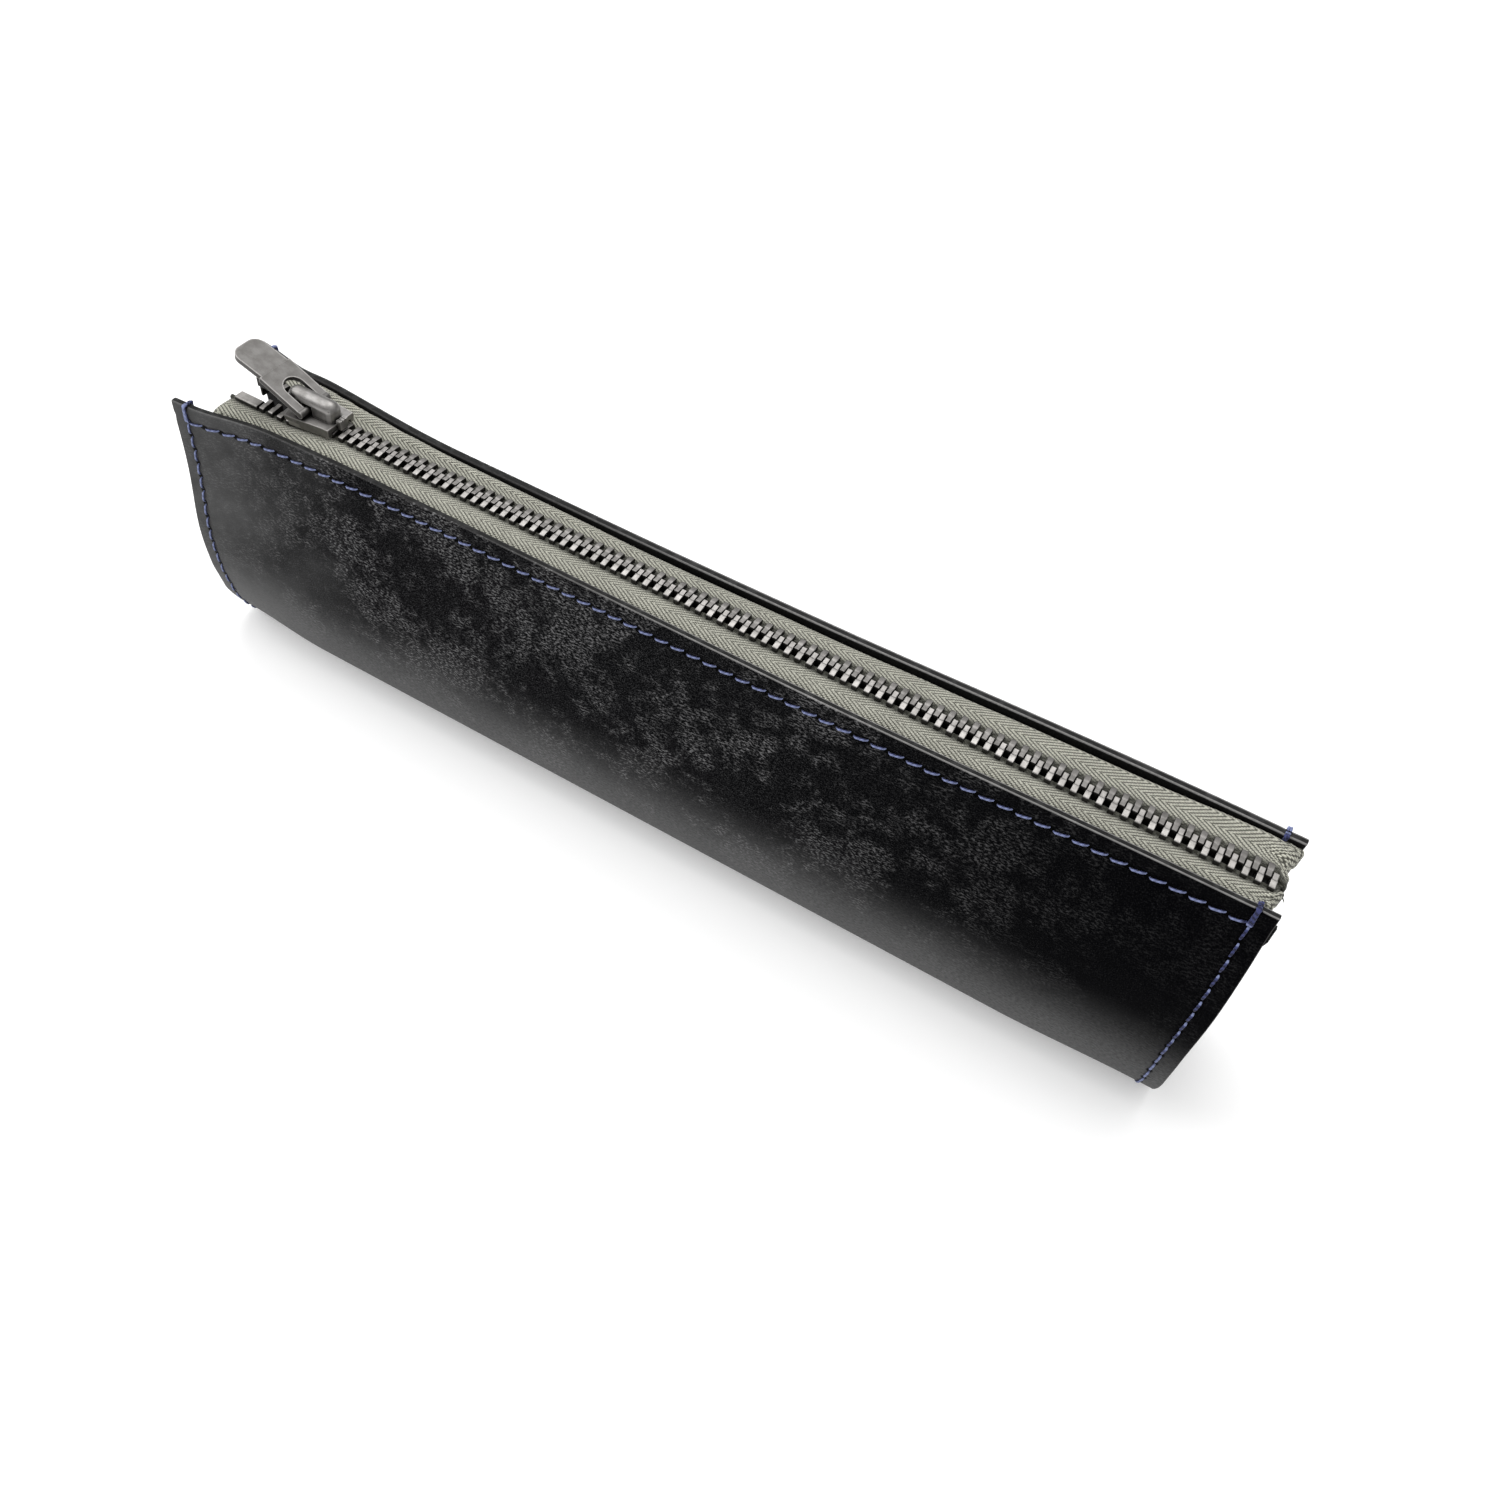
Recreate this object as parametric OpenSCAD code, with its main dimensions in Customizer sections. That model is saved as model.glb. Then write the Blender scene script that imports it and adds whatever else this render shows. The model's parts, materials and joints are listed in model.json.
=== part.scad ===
// Leather pen case closed by a metal zip along its mouth.
// +X runs along the case from the closed slider's end, +Y points to the back wall, +Z is up.
// The origin lies under the middle of the case, on the surface that it stands on.

/* [Leather body] */
// Length of the leather along the mouth
case_len = 198; // [160:1:250]
// Height of the leather's top edges above the resting face
case_h = 54; // [44:0.5:76]
// Outside width across the two top edges
mouth_w = 16.4; // [15:0.2:22]
// Outward bow of each top edge at the end where the slider rests
mouth_flare = 3.2; // [0:0.1:4]
// Length over which that bow fades out
flare_len = 46; // [20:1:80]
// Radius where each wall turns under the case
base_r = 10; // [8:0.5:14]
// Width of the flat strip that the case stands on
base_flat = 5.2; // [3:0.1:10]
// Thickness of the body leather
leather_t = 1.5; // [1:0.1:2]
// Gap left between soft pieces that lie against each other
soft_gap = 0.3; // [0.1:0.05:0.4]

/* [End gussets] */
// Thickness of the gusset leather
gusset_t = 1; // [0.6:0.1:1.4]
// Distance from the end of the case to the inner fold of a gusset
gusset_depth = 14; // [10:0.5:20]
// Width of the gusset's margin that lies along each wall under the end seam
gusset_margin = 5; // [3:0.5:8]
// Gap from the tapes' hanging edges down to the gusset's top corners
gusset_gap = 0.5; // [0.3:0.1:6]
// Further drop of the gusset's top edge at its fold
gusset_dip = 6; // [0:0.5:10]

/* [Zip chain] */
// Distance between neighbouring teeth on one tape
tooth_pitch = 2; // [1.8:0.05:2.4]
// Width of the closed chain across both rows
chain_w = 4.5; // [4.2:0.1:5.4]
// Width along the tape of a tooth's legs
leg_w = 0.75; // [0.6:0.05:1.1]
// Width along the tape of a tooth's head
head_w = 0.86; // [0.7:0.02:0.92]
// Height over a tooth's two legs
leg_h = 2.3; // [2:0.1:2.8]
// Height of a tooth's head
head_h = 1.9; // [1.4:0.1:2.1]
// Overlap of the two rows' heads
head_lap = 1.24; // [0.9:0.02:1.4]
// Depth of the teeth's middle plane below the leather's top edges
chain_drop = 1; // [0.5:0.1:2]
// Distance from the far end of the case to the last tooth
chain_end_gap = 2.5; // [2:0.1:6]
// Thickness of the woven tape
tape_t = 0.45; // [0.3:0.05:0.6]
// Radius of the cord woven into the tape's inner edge
bead_r = 0.5; // [0.4:0.02:0.54]
// Depth that the tape's sewn margin hangs below the chain
tape_hang = 8; // [5:0.5:12]
// Distance from the slider's end of the case to the start of the tapes
tape_start = 6; // [5:0.5:8]
// Length of a top stop
stop_len = 5; // [3:0.5:6]

/* [Slider] */
// Length of the slider's wings
slider_len = 9.6; // [8.5:0.1:11.6]
// Teeth left open between the slider and each top stop
open_teeth = 2; // [1:1:4]
// Thickness of a wing
wing_t = 0.9; // [0.7:0.05:1.2]
// Thickness of the rim that guides the chain
rim_t = 0.8; // [0.6:0.05:1]
// How far the slider spreads each row from the closed chain
row_spread = 1.75; // [1.6:0.05:2]
// Gap between the upper and lower rims for the tape
tape_slot = 1.2; // [1:0.1:1.4]
// Running clearance of the chain inside the slider
chain_clear = 0.2; // [0.1:0.05:0.3]
// Width of the crown
crown_w = 3.3; // [3.1:0.1:3.6]
// Height of the crown above the upper wing
crown_h = 3.35; // [3.1:0.05:3.8]

/* [Pull tab] */
// Length from the tab's hinge bar to its free end
tab_len = 15.6; // [12:0.1:24]
// Width of the tab's free part
tab_w = 6.3; // [6:0.1:7]
// Radius of the corners at the tab's free end
tab_corner = 2; // [0.5:0.1:2.8]
// Thickness of the tab
tab_t = 1; // [0.8:0.05:1.2]
// Angle at which the tab rests above the zip
tab_rest = 26; // [22:1:35]
// Bend between the tab's window part and its free part
tab_crank = 8; // [0:1:12]
// Radius of the tab's hinge bar
bar_r = 0.65; // [0.5:0.05:0.7]

/* [Hidden] */
$fn = 48;
eps = 0.01;

x_left = -case_len / 2;
x_right = case_len / 2;

// Section of the body: each wall runs straight from the top edge to where it meets the base's curve.
half_mouth = mouth_w / 2;
half_flat = base_flat / 2;
foot_dy = half_mouth - half_flat;
foot_dz = case_h - base_r;
wall_lean = asin(base_r / norm([foot_dy, foot_dz])) - atan2(foot_dy, foot_dz);
wall_run = leather_t / cos(wall_lean);
foot_out = [half_flat + base_r * cos(wall_lean), base_r + base_r * sin(wall_lean)];
inner_r = base_r - leather_t;
foot_in = [half_flat + inner_r * cos(wall_lean), base_r + inner_r * sin(wall_lean)];
fold_gap = 0.05;
wall_root = 0.3;

flare_steps = 8;
wall_xs = [for (i = [0:flare_steps]) x_left + flare_len * i / flare_steps, x_right];

function flare(x) = mouth_flare * pow(1 - min(1, (x - x_left) / flare_len), 2);
function top_y(x) = half_mouth + flare(x);
function cavity_y(x, z) = z >= foot_in[1]
    ? foot_in[0] + (top_y(x) - wall_run - foot_in[0]) * (z - foot_in[1]) / (case_h - foot_in[1])
    : half_flat + sqrt(max(0, pow(inner_r, 2) - pow(z - base_r, 2)));

// Chain: x of the teeth, and how far each row leaves the middle line inside and beyond the slider.
z_chain = case_h - chain_drop;
last_tooth_x = x_right - chain_end_gap;
half_chain = chain_w / 2;
head_tip = head_lap / 2;
leg_wall = 0.35;
bead_y = half_chain - bead_r - leg_wall;
spring_back = 1.5;
closed_len = case_len - chain_end_gap - tape_start - stop_len - slider_len - open_teeth * tooth_pitch;
closed_teeth = floor(closed_len / tooth_pitch);
slider_rear = last_tooth_x - closed_teeth * tooth_pitch + tooth_pitch / 2 + spring_back;
slider_front = slider_rear - slider_len;
front_xs = [for (x = [last_tooth_x:-tooth_pitch:slider_front - (open_teeth + 0.5) * tooth_pitch]) x];
back_xs = [for (x = front_xs) x - tooth_pitch / 2];
stop_gap = 0.4;
function stop_x(xs) = min(xs) - leg_w / 2 - stop_gap - stop_len;

function smooth(u) = u * u * (3 - 2 * u);
function row_shift(x) = row_spread * smooth(max(0, min(1, (slider_rear - x) / slider_len)));

// Slider heights, measured from the chain's middle plane.
wing_in = leg_h / 2 + chain_clear;
wing_out = wing_in + wing_t;
z_wing = z_chain + wing_out;
rear_half = half_chain + chain_clear + rim_t;
nose_trim = 0.1;
front_half = half_chain + row_spread + chain_clear - nose_trim;
hole_clear = 0.2;

// Crown and hinge bar, measured from the slider's front edge and the upper wing's face.
crown_front = -0.9;
crown_rear = slider_len - 0.2;
tunnel_front = 1.5;
tunnel_rear = crown_rear - 0.8;
crown_back = 1;
tunnel_h = crown_h - crown_back;
bar_x = 3.9;
bar_play = 0.2;
bar_z = bar_r + bar_play;
ear_play = 0.45;
ear_w = 2 * (bar_r + ear_play);
ear_h = bar_z + bar_r + ear_play;

// Serrated lug that closes the crown's rear foot.
lug_len = 0.9;
lug_w = 1.9;
lug_rise = 0.8;
lug_teeth = 3;
lug_groove = 0.16;

// Lock spring: a strip under the crown with a prong that drops between two teeth.
spring_t = 0.3;
spring_play = 0.08;
spring_z = bar_z + bar_r + spring_play;
crown_skin = 0.3;
spring_w = crown_w - 2 * (crown_skin + spring_play);
spring_front = 0.7;
spring_rear = tunnel_rear - 0.15;
prong_x = slider_len - spring_back;
prong_w = 0.6;
prong_t = 0.4;
prong_gap = 0.25;
prong_y = -(head_tip + prong_t / 2 + prong_gap);
prong_bite = 0.35;
prong_tip = leg_h / 2 - prong_bite;

// Pull tab, measured from its hinge bar along the tab.
window_play = 0.35;
window_w = crown_w + 2 * window_play;
window_len = 6.2;
tab_step = 8.8;
tab_shoulder = 0.45;
tab_wide = tab_w + 2 * tab_shoulder;
tab_lap = 0.15;

// A skin between two equal grids of points, closed along its four borders.
module skin(outer, inner) {
    rows = len(outer);
    cols = len(outer[0]);
    half = rows * cols;
    function a(j, i) = j * cols + i;
    function b(j, i) = half + j * cols + i;
    polyhedron(
        points = concat([for (row = outer) each row], [for (row = inner) each row]),
        faces = concat(
            [for (j = [0:rows - 2], i = [0:cols - 2]) each [
                [a(j, i), a(j, i + 1), a(j + 1, i + 1)], [a(j, i), a(j + 1, i + 1), a(j + 1, i)],
                [b(j, i), b(j + 1, i + 1), b(j, i + 1)], [b(j, i), b(j + 1, i), b(j + 1, i + 1)]]],
            [for (i = [0:cols - 2]) each [
                [a(0, i), b(0, i), b(0, i + 1)], [a(0, i), b(0, i + 1), a(0, i + 1)],
                [a(rows - 1, i), b(rows - 1, i + 1), b(rows - 1, i)],
                [a(rows - 1, i), a(rows - 1, i + 1), b(rows - 1, i + 1)]]],
            [for (j = [0:rows - 2]) each [
                [a(j, 0), b(j + 1, 0), b(j, 0)], [a(j, 0), a(j + 1, 0), b(j + 1, 0)],
                [a(j, cols - 1), b(j, cols - 1), b(j + 1, cols - 1)],
                [a(j, cols - 1), b(j + 1, cols - 1), a(j + 1, cols - 1)]]]));
}

// Points of a flat path pushed sideways by a distance.
function heading(path, i) = let (d = path[min(i + 1, len(path) - 1)] - path[max(i - 1, 0)]) d / norm(d);
function beside(path, d) = [for (i = [0:len(path) - 1])
    let (h = heading(path, i)) path[i] + d * [-h[1], h[0]]];

// Extrusion along X of a section drawn in Y and Z.
module along_x(x, length) {
    translate([x, 0, 0])
        rotate([90, 0, 90])
            linear_extrude(length)
                children();
}

// Straight part of a wall, drawn for the back of the case, and lengthened at its foot by root.
module wall(root) {
    down = root * [sin(wall_lean), -cos(wall_lean)];
    low_out = foot_out + down;
    low_in = foot_in + down;
    skin(
        [for (x = wall_xs) [[x, top_y(x), case_h], [x, low_out[0], low_out[1]]]],
        [for (x = wall_xs) [[x, top_y(x) - wall_run, case_h], [x, low_in[0], low_in[1]]]]);
}

// Quarter of the base's curve, from the flat strip up to the foot of the back wall.
module base_corner() {
    reach = 2 * base_r;
    translate([half_flat, base_r])
        intersection() {
            difference() {
                circle(base_r, $fn = 96);
                circle(inner_r, $fn = 96);
            }
            polygon([[0, 0], [0, -reach], [reach, -reach], [reach, reach * tan(wall_lean)]]);
        }
}

module front_panel() {
    color("#1c1d21")
        mirror([0, 1, 0])
            wall(-fold_gap);
}

module back_panel() {
    color("#1c1d21") {
        wall(wall_root);
        along_x(x_left, case_len) {
            base_corner();
            mirror([1, 0])
                base_corner();
            translate([-half_flat, 0])
                square([base_flat, leather_t]);
        }
    }
}

// Gusset folded inwards, drawn for the far end of the case: margins along both walls, then the fold.
gusset_inset = 0.5;
bend_x = 2;
bend_y = 1;
gusset_foot = 2;
function gusset_path(z) = let (y = cavity_y(x_right, z) - soft_gap - gusset_t / 2) [
    [x_right - gusset_inset, -y], [x_right - gusset_margin, -y],
    [x_right - gusset_margin - bend_x, bend_y - y],
    [x_right - gusset_depth, 0],
    [x_right - gusset_margin - bend_x, y - bend_y],
    [x_right - gusset_margin, y], [x_right - gusset_inset, y]];
function gusset_row(z, side, dip) = let (path = beside(gusset_path(z), side * gusset_t / 2)) [
    for (p = path) [p[0], p[1], z - dip * (1 - abs(p[1]) / cavity_y(x_right, z))]];

module gusset() {
    low = leather_t + gusset_foot;
    top = low_z - gusset_gap;
    curve_steps = 4;
    zs = concat(
        [for (i = [0:curve_steps]) low + (foot_in[1] - low) * pow(i / curve_steps, 1.4)],
        [(foot_in[1] + top) / 2, top]);
    dips = [for (z = zs) z == top ? gusset_dip : z > foot_in[1] ? gusset_dip / 2 : 0];
    skin(
        [for (i = [0:len(zs) - 1]) gusset_row(zs[i], 1, dips[i])],
        [for (i = [0:len(zs) - 1]) gusset_row(zs[i], -1, dips[i])]);
}

module right_gusset() {
    color("#26272c")
        gusset();
}

module left_gusset() {
    color("#26272c")
        mirror([1, 0, 0])
            gusset();
}

// Tape of the back row: flat beside the teeth, then turned down along the wall's inner face.
turn_drop = 1.5;
turn_in = 1.2;
turn_mid = 0.35;
tape_short = 0.3;
turn_z = z_chain - turn_drop;
low_z = z_chain - tape_hang;
function tape_path(x) = let (
        near = bead_y + row_shift(x),
        wall_y = cavity_y(x, turn_z) - soft_gap - tape_t / 2,
        low_y = cavity_y(x, low_z) - soft_gap - tape_t / 2) [
    [near, z_chain], [wall_y - turn_in, z_chain], [wall_y - turn_mid, z_chain - turn_mid],
    [wall_y, turn_z], [low_y, low_z]];
tape_xs = concat(
    [x_left + tape_start],
    [for (i = [0:8]) slider_front + slider_len * i / 8],
    [for (x = wall_xs) if (x > slider_rear + tape_short && x < x_right) x],
    [x_right - tape_short]);
function lift(x, path) = [for (p = path) [x, p[0], p[1]]];

function bead_edge(x, arc, side) = [for (a = arc)
    [x, bead_y + row_shift(x) + side * bead_r * cos(a), z_chain + bead_r * sin(a)]];

module tape() {
    skin(
        [for (x = tape_xs) lift(x, beside(tape_path(x), tape_t / 2))],
        [for (x = tape_xs) lift(x, beside(tape_path(x), -tape_t / 2))]);
    bead_arc = [70, 35, 0, -35, -70];
    skin(
        [for (x = tape_xs) bead_edge(x, bead_arc, 1)],
        [for (x = tape_xs) bead_edge(x, bead_arc, -1)]);
}

module back_tape() {
    color("#6f7466")
        tape();
}

module front_tape() {
    color("#6f7466")
        mirror([0, 1, 0])
            tape();
}

// Tooth of the back row: two legs clamped round the tape's cord, and a head that reaches past
// the middle line, with a nib on one side and a groove on the other for the next head's nib.
nib_h = 0.5;
nib_play = 0.1;
nib_bite = 0.16;
nib_inset = 0.15;
nib_len = head_lap - 2 * nib_inset - nib_play / 2;
nib_out = (tooth_pitch / 2 - head_w) + nib_bite;
groove_h = nib_h + 2 * nib_play;
groove_in = nib_bite + nib_play;
leg_gap = 0.03;
clamp_clear = 0.09;
clamp_r = bead_r + clamp_clear;

module leg_section() {
    difference() {
        intersection() {
            translate([bead_y, 0])
                circle(leg_h / 2, $fn = 24);
            translate([head_tip + leg_gap, -leg_h / 2])
                square([half_chain - head_tip - leg_gap, leg_h]);
        }
        translate([bead_y, 0])
            circle(clamp_r, $fn = 24);
        translate([bead_y, -tape_t / 2 - clamp_clear])
            square([half_chain, tape_t + 2 * clamp_clear]);
    }
}

module tooth() {
    along_x(-leg_w / 2, leg_w)
        leg_section();
    difference() {
        union() {
            translate([-head_w / 2, -head_tip, -head_h / 2])
                cube([head_w, head_tip + bead_y - clamp_r, head_h]);
            translate([head_w / 2 - eps, -head_tip + nib_inset, -nib_h / 2])
                cube([nib_out + eps, nib_len, nib_h]);
        }
        translate([-head_w / 2 - eps, -head_tip - eps, -groove_h / 2])
            cube([groove_in + eps, head_lap + nib_play, groove_h]);
    }
}

module teeth(xs) {
    for (x = xs)
        translate([x, row_shift(x), z_chain])
            tooth();
}

module back_teeth() {
    color("#8d8b84")
        teeth(back_xs);
}

module front_teeth() {
    color("#8d8b84")
        mirror([0, 1, 0])
            teeth(front_xs);
}

// Stop clamped round the tape's cord past the last tooth, drawn for the back row.
stop_wall = 0.45;
stop_chamfer = 1.26;
module top_stop(x) {
    outer = 2 * (clamp_r + stop_wall);
    along_x(x, stop_len)
        translate([bead_y + row_shift(x), z_chain])
            difference() {
                intersection() {
                    square(outer, center = true);
                    rotate(45)
                        square(stop_chamfer * outer, center = true);
                }
                circle(clamp_r, $fn = 24);
                translate([0, -tape_t / 2 - clamp_clear])
                    square([outer, tape_t + 2 * clamp_clear]);
            }
}

module back_top_stop() {
    color("#8d8b84")
        top_stop(stop_x(back_xs));
}

module front_top_stop() {
    color("#8d8b84")
        mirror([0, 1, 0])
            top_stop(stop_x(front_xs));
}

// Outline of a wing, from the square rear edge to the shouldered, bowed front edge.
wing_steps = 8;
nose = 0.8;
function wing_side(side) = [for (i = [0:wing_steps])
    let (u = i / wing_steps) [slider_rear - u * (slider_len - nose),
        side * (rear_half + (front_half - rear_half) * smooth(u))]];
function wing_nose() = [for (i = [1:wing_steps - 1])
    let (v = 1 - 2 * i / wing_steps) [slider_front + nose * v * v, front_half * v]];
function reversed(list) = [for (i = [len(list) - 1:-1:0]) list[i]];

module wing_outline() {
    polygon(concat(wing_side(1), wing_nose(), reversed(wing_side(-1))));
}

// Space between the rims that the two rows run through.
module channel_outline() {
    over = 1;
    xs = [for (i = [0:2 * wing_steps]) slider_rear + over - (slider_len + 2 * over) * i / (2 * wing_steps)];
    edge = [for (x = xs) [x, half_chain + chain_clear + row_shift(x)]];
    polygon(concat(edge, [for (p = reversed(edge)) [p[0], -p[1]]]));
}

// Wedge between the rows that parts them and joins the two wings.
module post_outline() {
    tip_gap = 0.25;
    half_tip = 0.2;
    start = slider_front + 0.6;
    length = slider_len / 2 - 1;
    xs = [for (i = [0:wing_steps]) start + length * i / wing_steps];
    edge = [for (x = xs) [x, max(half_tip, row_shift(x) - head_tip - tip_gap)]];
    polygon(concat(edge, [for (p = reversed(edge)) [p[0], -p[1]]]));
}

module wing() {
    translate([0, 0, wing_in])
        linear_extrude(wing_t)
            wing_outline();
    translate([0, 0, tape_slot / 2])
        linear_extrude(wing_in - tape_slot / 2 + eps)
            difference() {
                wing_outline();
                channel_outline();
            }
}

module lug() {
    step = lug_w / lug_teeth;
    difference() {
        translate([slider_rear - eps, -lug_w / 2, wing_in])
            cube([lug_len + eps, lug_w, wing_t + lug_rise]);
        for (i = [1:lug_teeth - 1])
            translate([slider_rear - 2 * eps, i * step - lug_w / 2 - lug_groove / 2, wing_out + lug_rise / 2])
                cube([lug_len + 3 * eps, lug_groove, lug_rise]);
    }
}

module slider_body() {
    color("#7d7a73")
        translate([0, 0, z_chain])
            difference() {
                union() {
                    lug();
                    wing();
                    mirror([0, 0, 1])
                        wing();
                    translate([0, 0, -wing_in - eps])
                        linear_extrude(2 * wing_in + 2 * eps)
                            post_outline();
                }
                translate([slider_front + prong_x - prong_w / 2 - hole_clear,
                        prong_y - prong_t / 2 - hole_clear, wing_in - 1])
                    cube([prong_w + 2 * hole_clear, prong_t + 2 * hole_clear, wing_t + 2]);
            }
}

// Crown: a round-backed shell on the upper wing, open at its cheeks for the tab's bar.
module crown_solid() {
    r = crown_w / 2;
    ridge = crown_h - r;
    run = crown_rear - crown_front - crown_w;
    translate([crown_front + r, 0, 0]) {
        cylinder(r = r, h = ridge);
        translate([0, 0, ridge])
            sphere(r);
        translate([0, 0, ridge])
            rotate([0, 90, 0])
                cylinder(r = r, h = run);
        translate([0, -r, 0])
            cube([run, crown_w, ridge]);
        translate([run, 0, 0])
            cylinder(r = r, h = ridge);
        translate([run, 0, ridge])
            sphere(r);
    }
}

module slider_crown() {
    color("#98948b")
        translate([slider_front, 0, z_wing])
            difference() {
                crown_solid();
                translate([tunnel_front, crown_skin - crown_w / 2, -eps])
                    cube([tunnel_rear - tunnel_front, crown_w - 2 * crown_skin, tunnel_h + eps]);
                translate([bar_x - ear_w / 2, -crown_w, -eps])
                    cube([ear_w, 2 * crown_w, ear_h + eps]);
                translate([spring_front, -spring_w / 2, spring_z] - spring_play * [1, 1, 1])
                    cube([tunnel_front - spring_front, spring_w, spring_t] + 2 * spring_play * [1, 1, 1]);
            }
}

module lock_spring() {
    color("#b0aea6")
        translate([slider_front, 0, z_wing]) {
            translate([spring_front, -spring_w / 2, spring_z])
                cube([spring_rear - spring_front, spring_w, spring_t]);
            translate([prong_x - prong_w / 2, prong_y - prong_t / 2, prong_tip - wing_out])
                cube([prong_w, prong_t, spring_z + wing_out - prong_tip + eps]);
        }
}

// Tab drawn flat along -X from its hinge bar; the free part is bent down by the crank.
module tab_window_part() {
    difference() {
        translate([-tab_step, -tab_wide / 2, -tab_t / 2])
            cube([tab_step, tab_wide, tab_t]);
        translate([-window_len + window_w / 2, 0, -tab_t])
            cylinder(d = window_w, h = 2 * tab_t);
        translate([-window_len + window_w / 2, -window_w / 2, -tab_t])
            cube([window_len, window_w, 2 * tab_t]);
    }
    translate([0, tab_wide / 2, 0])
        rotate([90, 0, 0])
            cylinder(r = bar_r, h = tab_wide);
}

module tab_free_part() {
    free_len = tab_len - tab_step;
    side_y = tab_w / 2 - tab_corner;
    translate([-tab_step, 0, 0])
        rotate([0, -tab_crank, 0])
            translate([0, 0, -tab_t / 2])
                linear_extrude(tab_t) {
                    translate([tab_corner - free_len, -tab_w / 2])
                        square([free_len - tab_corner + tab_lap, tab_w]);
                    translate([-free_len, -side_y])
                        square([tab_corner, 2 * side_y]);
                    for (side = [-1, 1])
                        translate([tab_corner - free_len, side * side_y])
                            circle(tab_corner);
                }
}

module pull_tab() {
    color("#8f8c84")
        translate([slider_front + bar_x, 0, z_wing + bar_z])
            rotate([0, tab_rest, 0]) {
                tab_window_part();
                tab_free_part();
            }
}

front_panel();
back_panel();
left_gusset();
right_gusset();
front_tape();
back_tape();
front_teeth();
back_teeth();
front_top_stop();
back_top_stop();
slider_body();
slider_crown();
lock_spring();
pull_tab();
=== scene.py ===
"""Looks of a leather pen case with a metal zip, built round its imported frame.

Lengths in the code are in millimetres until a mesh is made, and MM turns them into metres.
+X runs along the case from the closed slider's end, +Y points to the back wall, +Z is up.
"""

import json
import logging
import math
from dataclasses import dataclass
from enum import Enum
from typing import Any

import bpy
import numpy as np
from mathutils import Euler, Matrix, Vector


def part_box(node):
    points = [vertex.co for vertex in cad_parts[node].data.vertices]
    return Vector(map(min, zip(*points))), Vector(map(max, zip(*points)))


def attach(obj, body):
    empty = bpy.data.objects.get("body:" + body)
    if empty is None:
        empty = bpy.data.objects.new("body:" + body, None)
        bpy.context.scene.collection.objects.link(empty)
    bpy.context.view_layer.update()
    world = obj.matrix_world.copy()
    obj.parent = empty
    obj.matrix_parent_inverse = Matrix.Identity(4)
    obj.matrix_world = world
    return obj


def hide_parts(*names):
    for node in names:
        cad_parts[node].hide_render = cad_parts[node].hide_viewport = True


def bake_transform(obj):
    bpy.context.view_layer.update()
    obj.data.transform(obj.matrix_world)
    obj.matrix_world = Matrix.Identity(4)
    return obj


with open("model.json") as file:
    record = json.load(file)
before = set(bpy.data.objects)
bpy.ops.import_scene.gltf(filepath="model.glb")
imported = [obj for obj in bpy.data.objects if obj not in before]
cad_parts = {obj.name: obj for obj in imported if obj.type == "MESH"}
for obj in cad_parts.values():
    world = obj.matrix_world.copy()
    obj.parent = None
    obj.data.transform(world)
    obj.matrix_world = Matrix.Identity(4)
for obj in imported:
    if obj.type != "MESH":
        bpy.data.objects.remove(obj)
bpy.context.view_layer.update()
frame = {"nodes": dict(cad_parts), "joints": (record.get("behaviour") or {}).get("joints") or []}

MM = 0.001
PLACES = "place"
FOLD_AT = next(joint["pos_m"] for joint in frame["joints"] if joint["name"] == "mouth_opening")
LOG = logging.getLogger("pen_case")
Colour = tuple[float, float, float, float]
Span = tuple[float, float]
Point = tuple[float, float, float]


def grey(level: float, warmth: float = 0.0) -> Colour:
    """A linear colour of one level, with more red and less blue as warmth rises."""
    return (level * (1 + warmth), level, level * (1 - warmth), 1.0)


def smooth(low: float, high: float, x: Any) -> Any:
    """Smooth step of numbers or arrays.

    Args:
        low: Where the step leaves 0.
        high: Where the step reaches 1.
        x: The number or array.

    Returns:
        Values from 0 to 1.
    """
    t = np.clip((np.asarray(x, float) - low) / (high - low), 0, 1)
    return t * t * (3 - 2 * t)


# ---------------------------------------------------------------- shader writing


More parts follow.
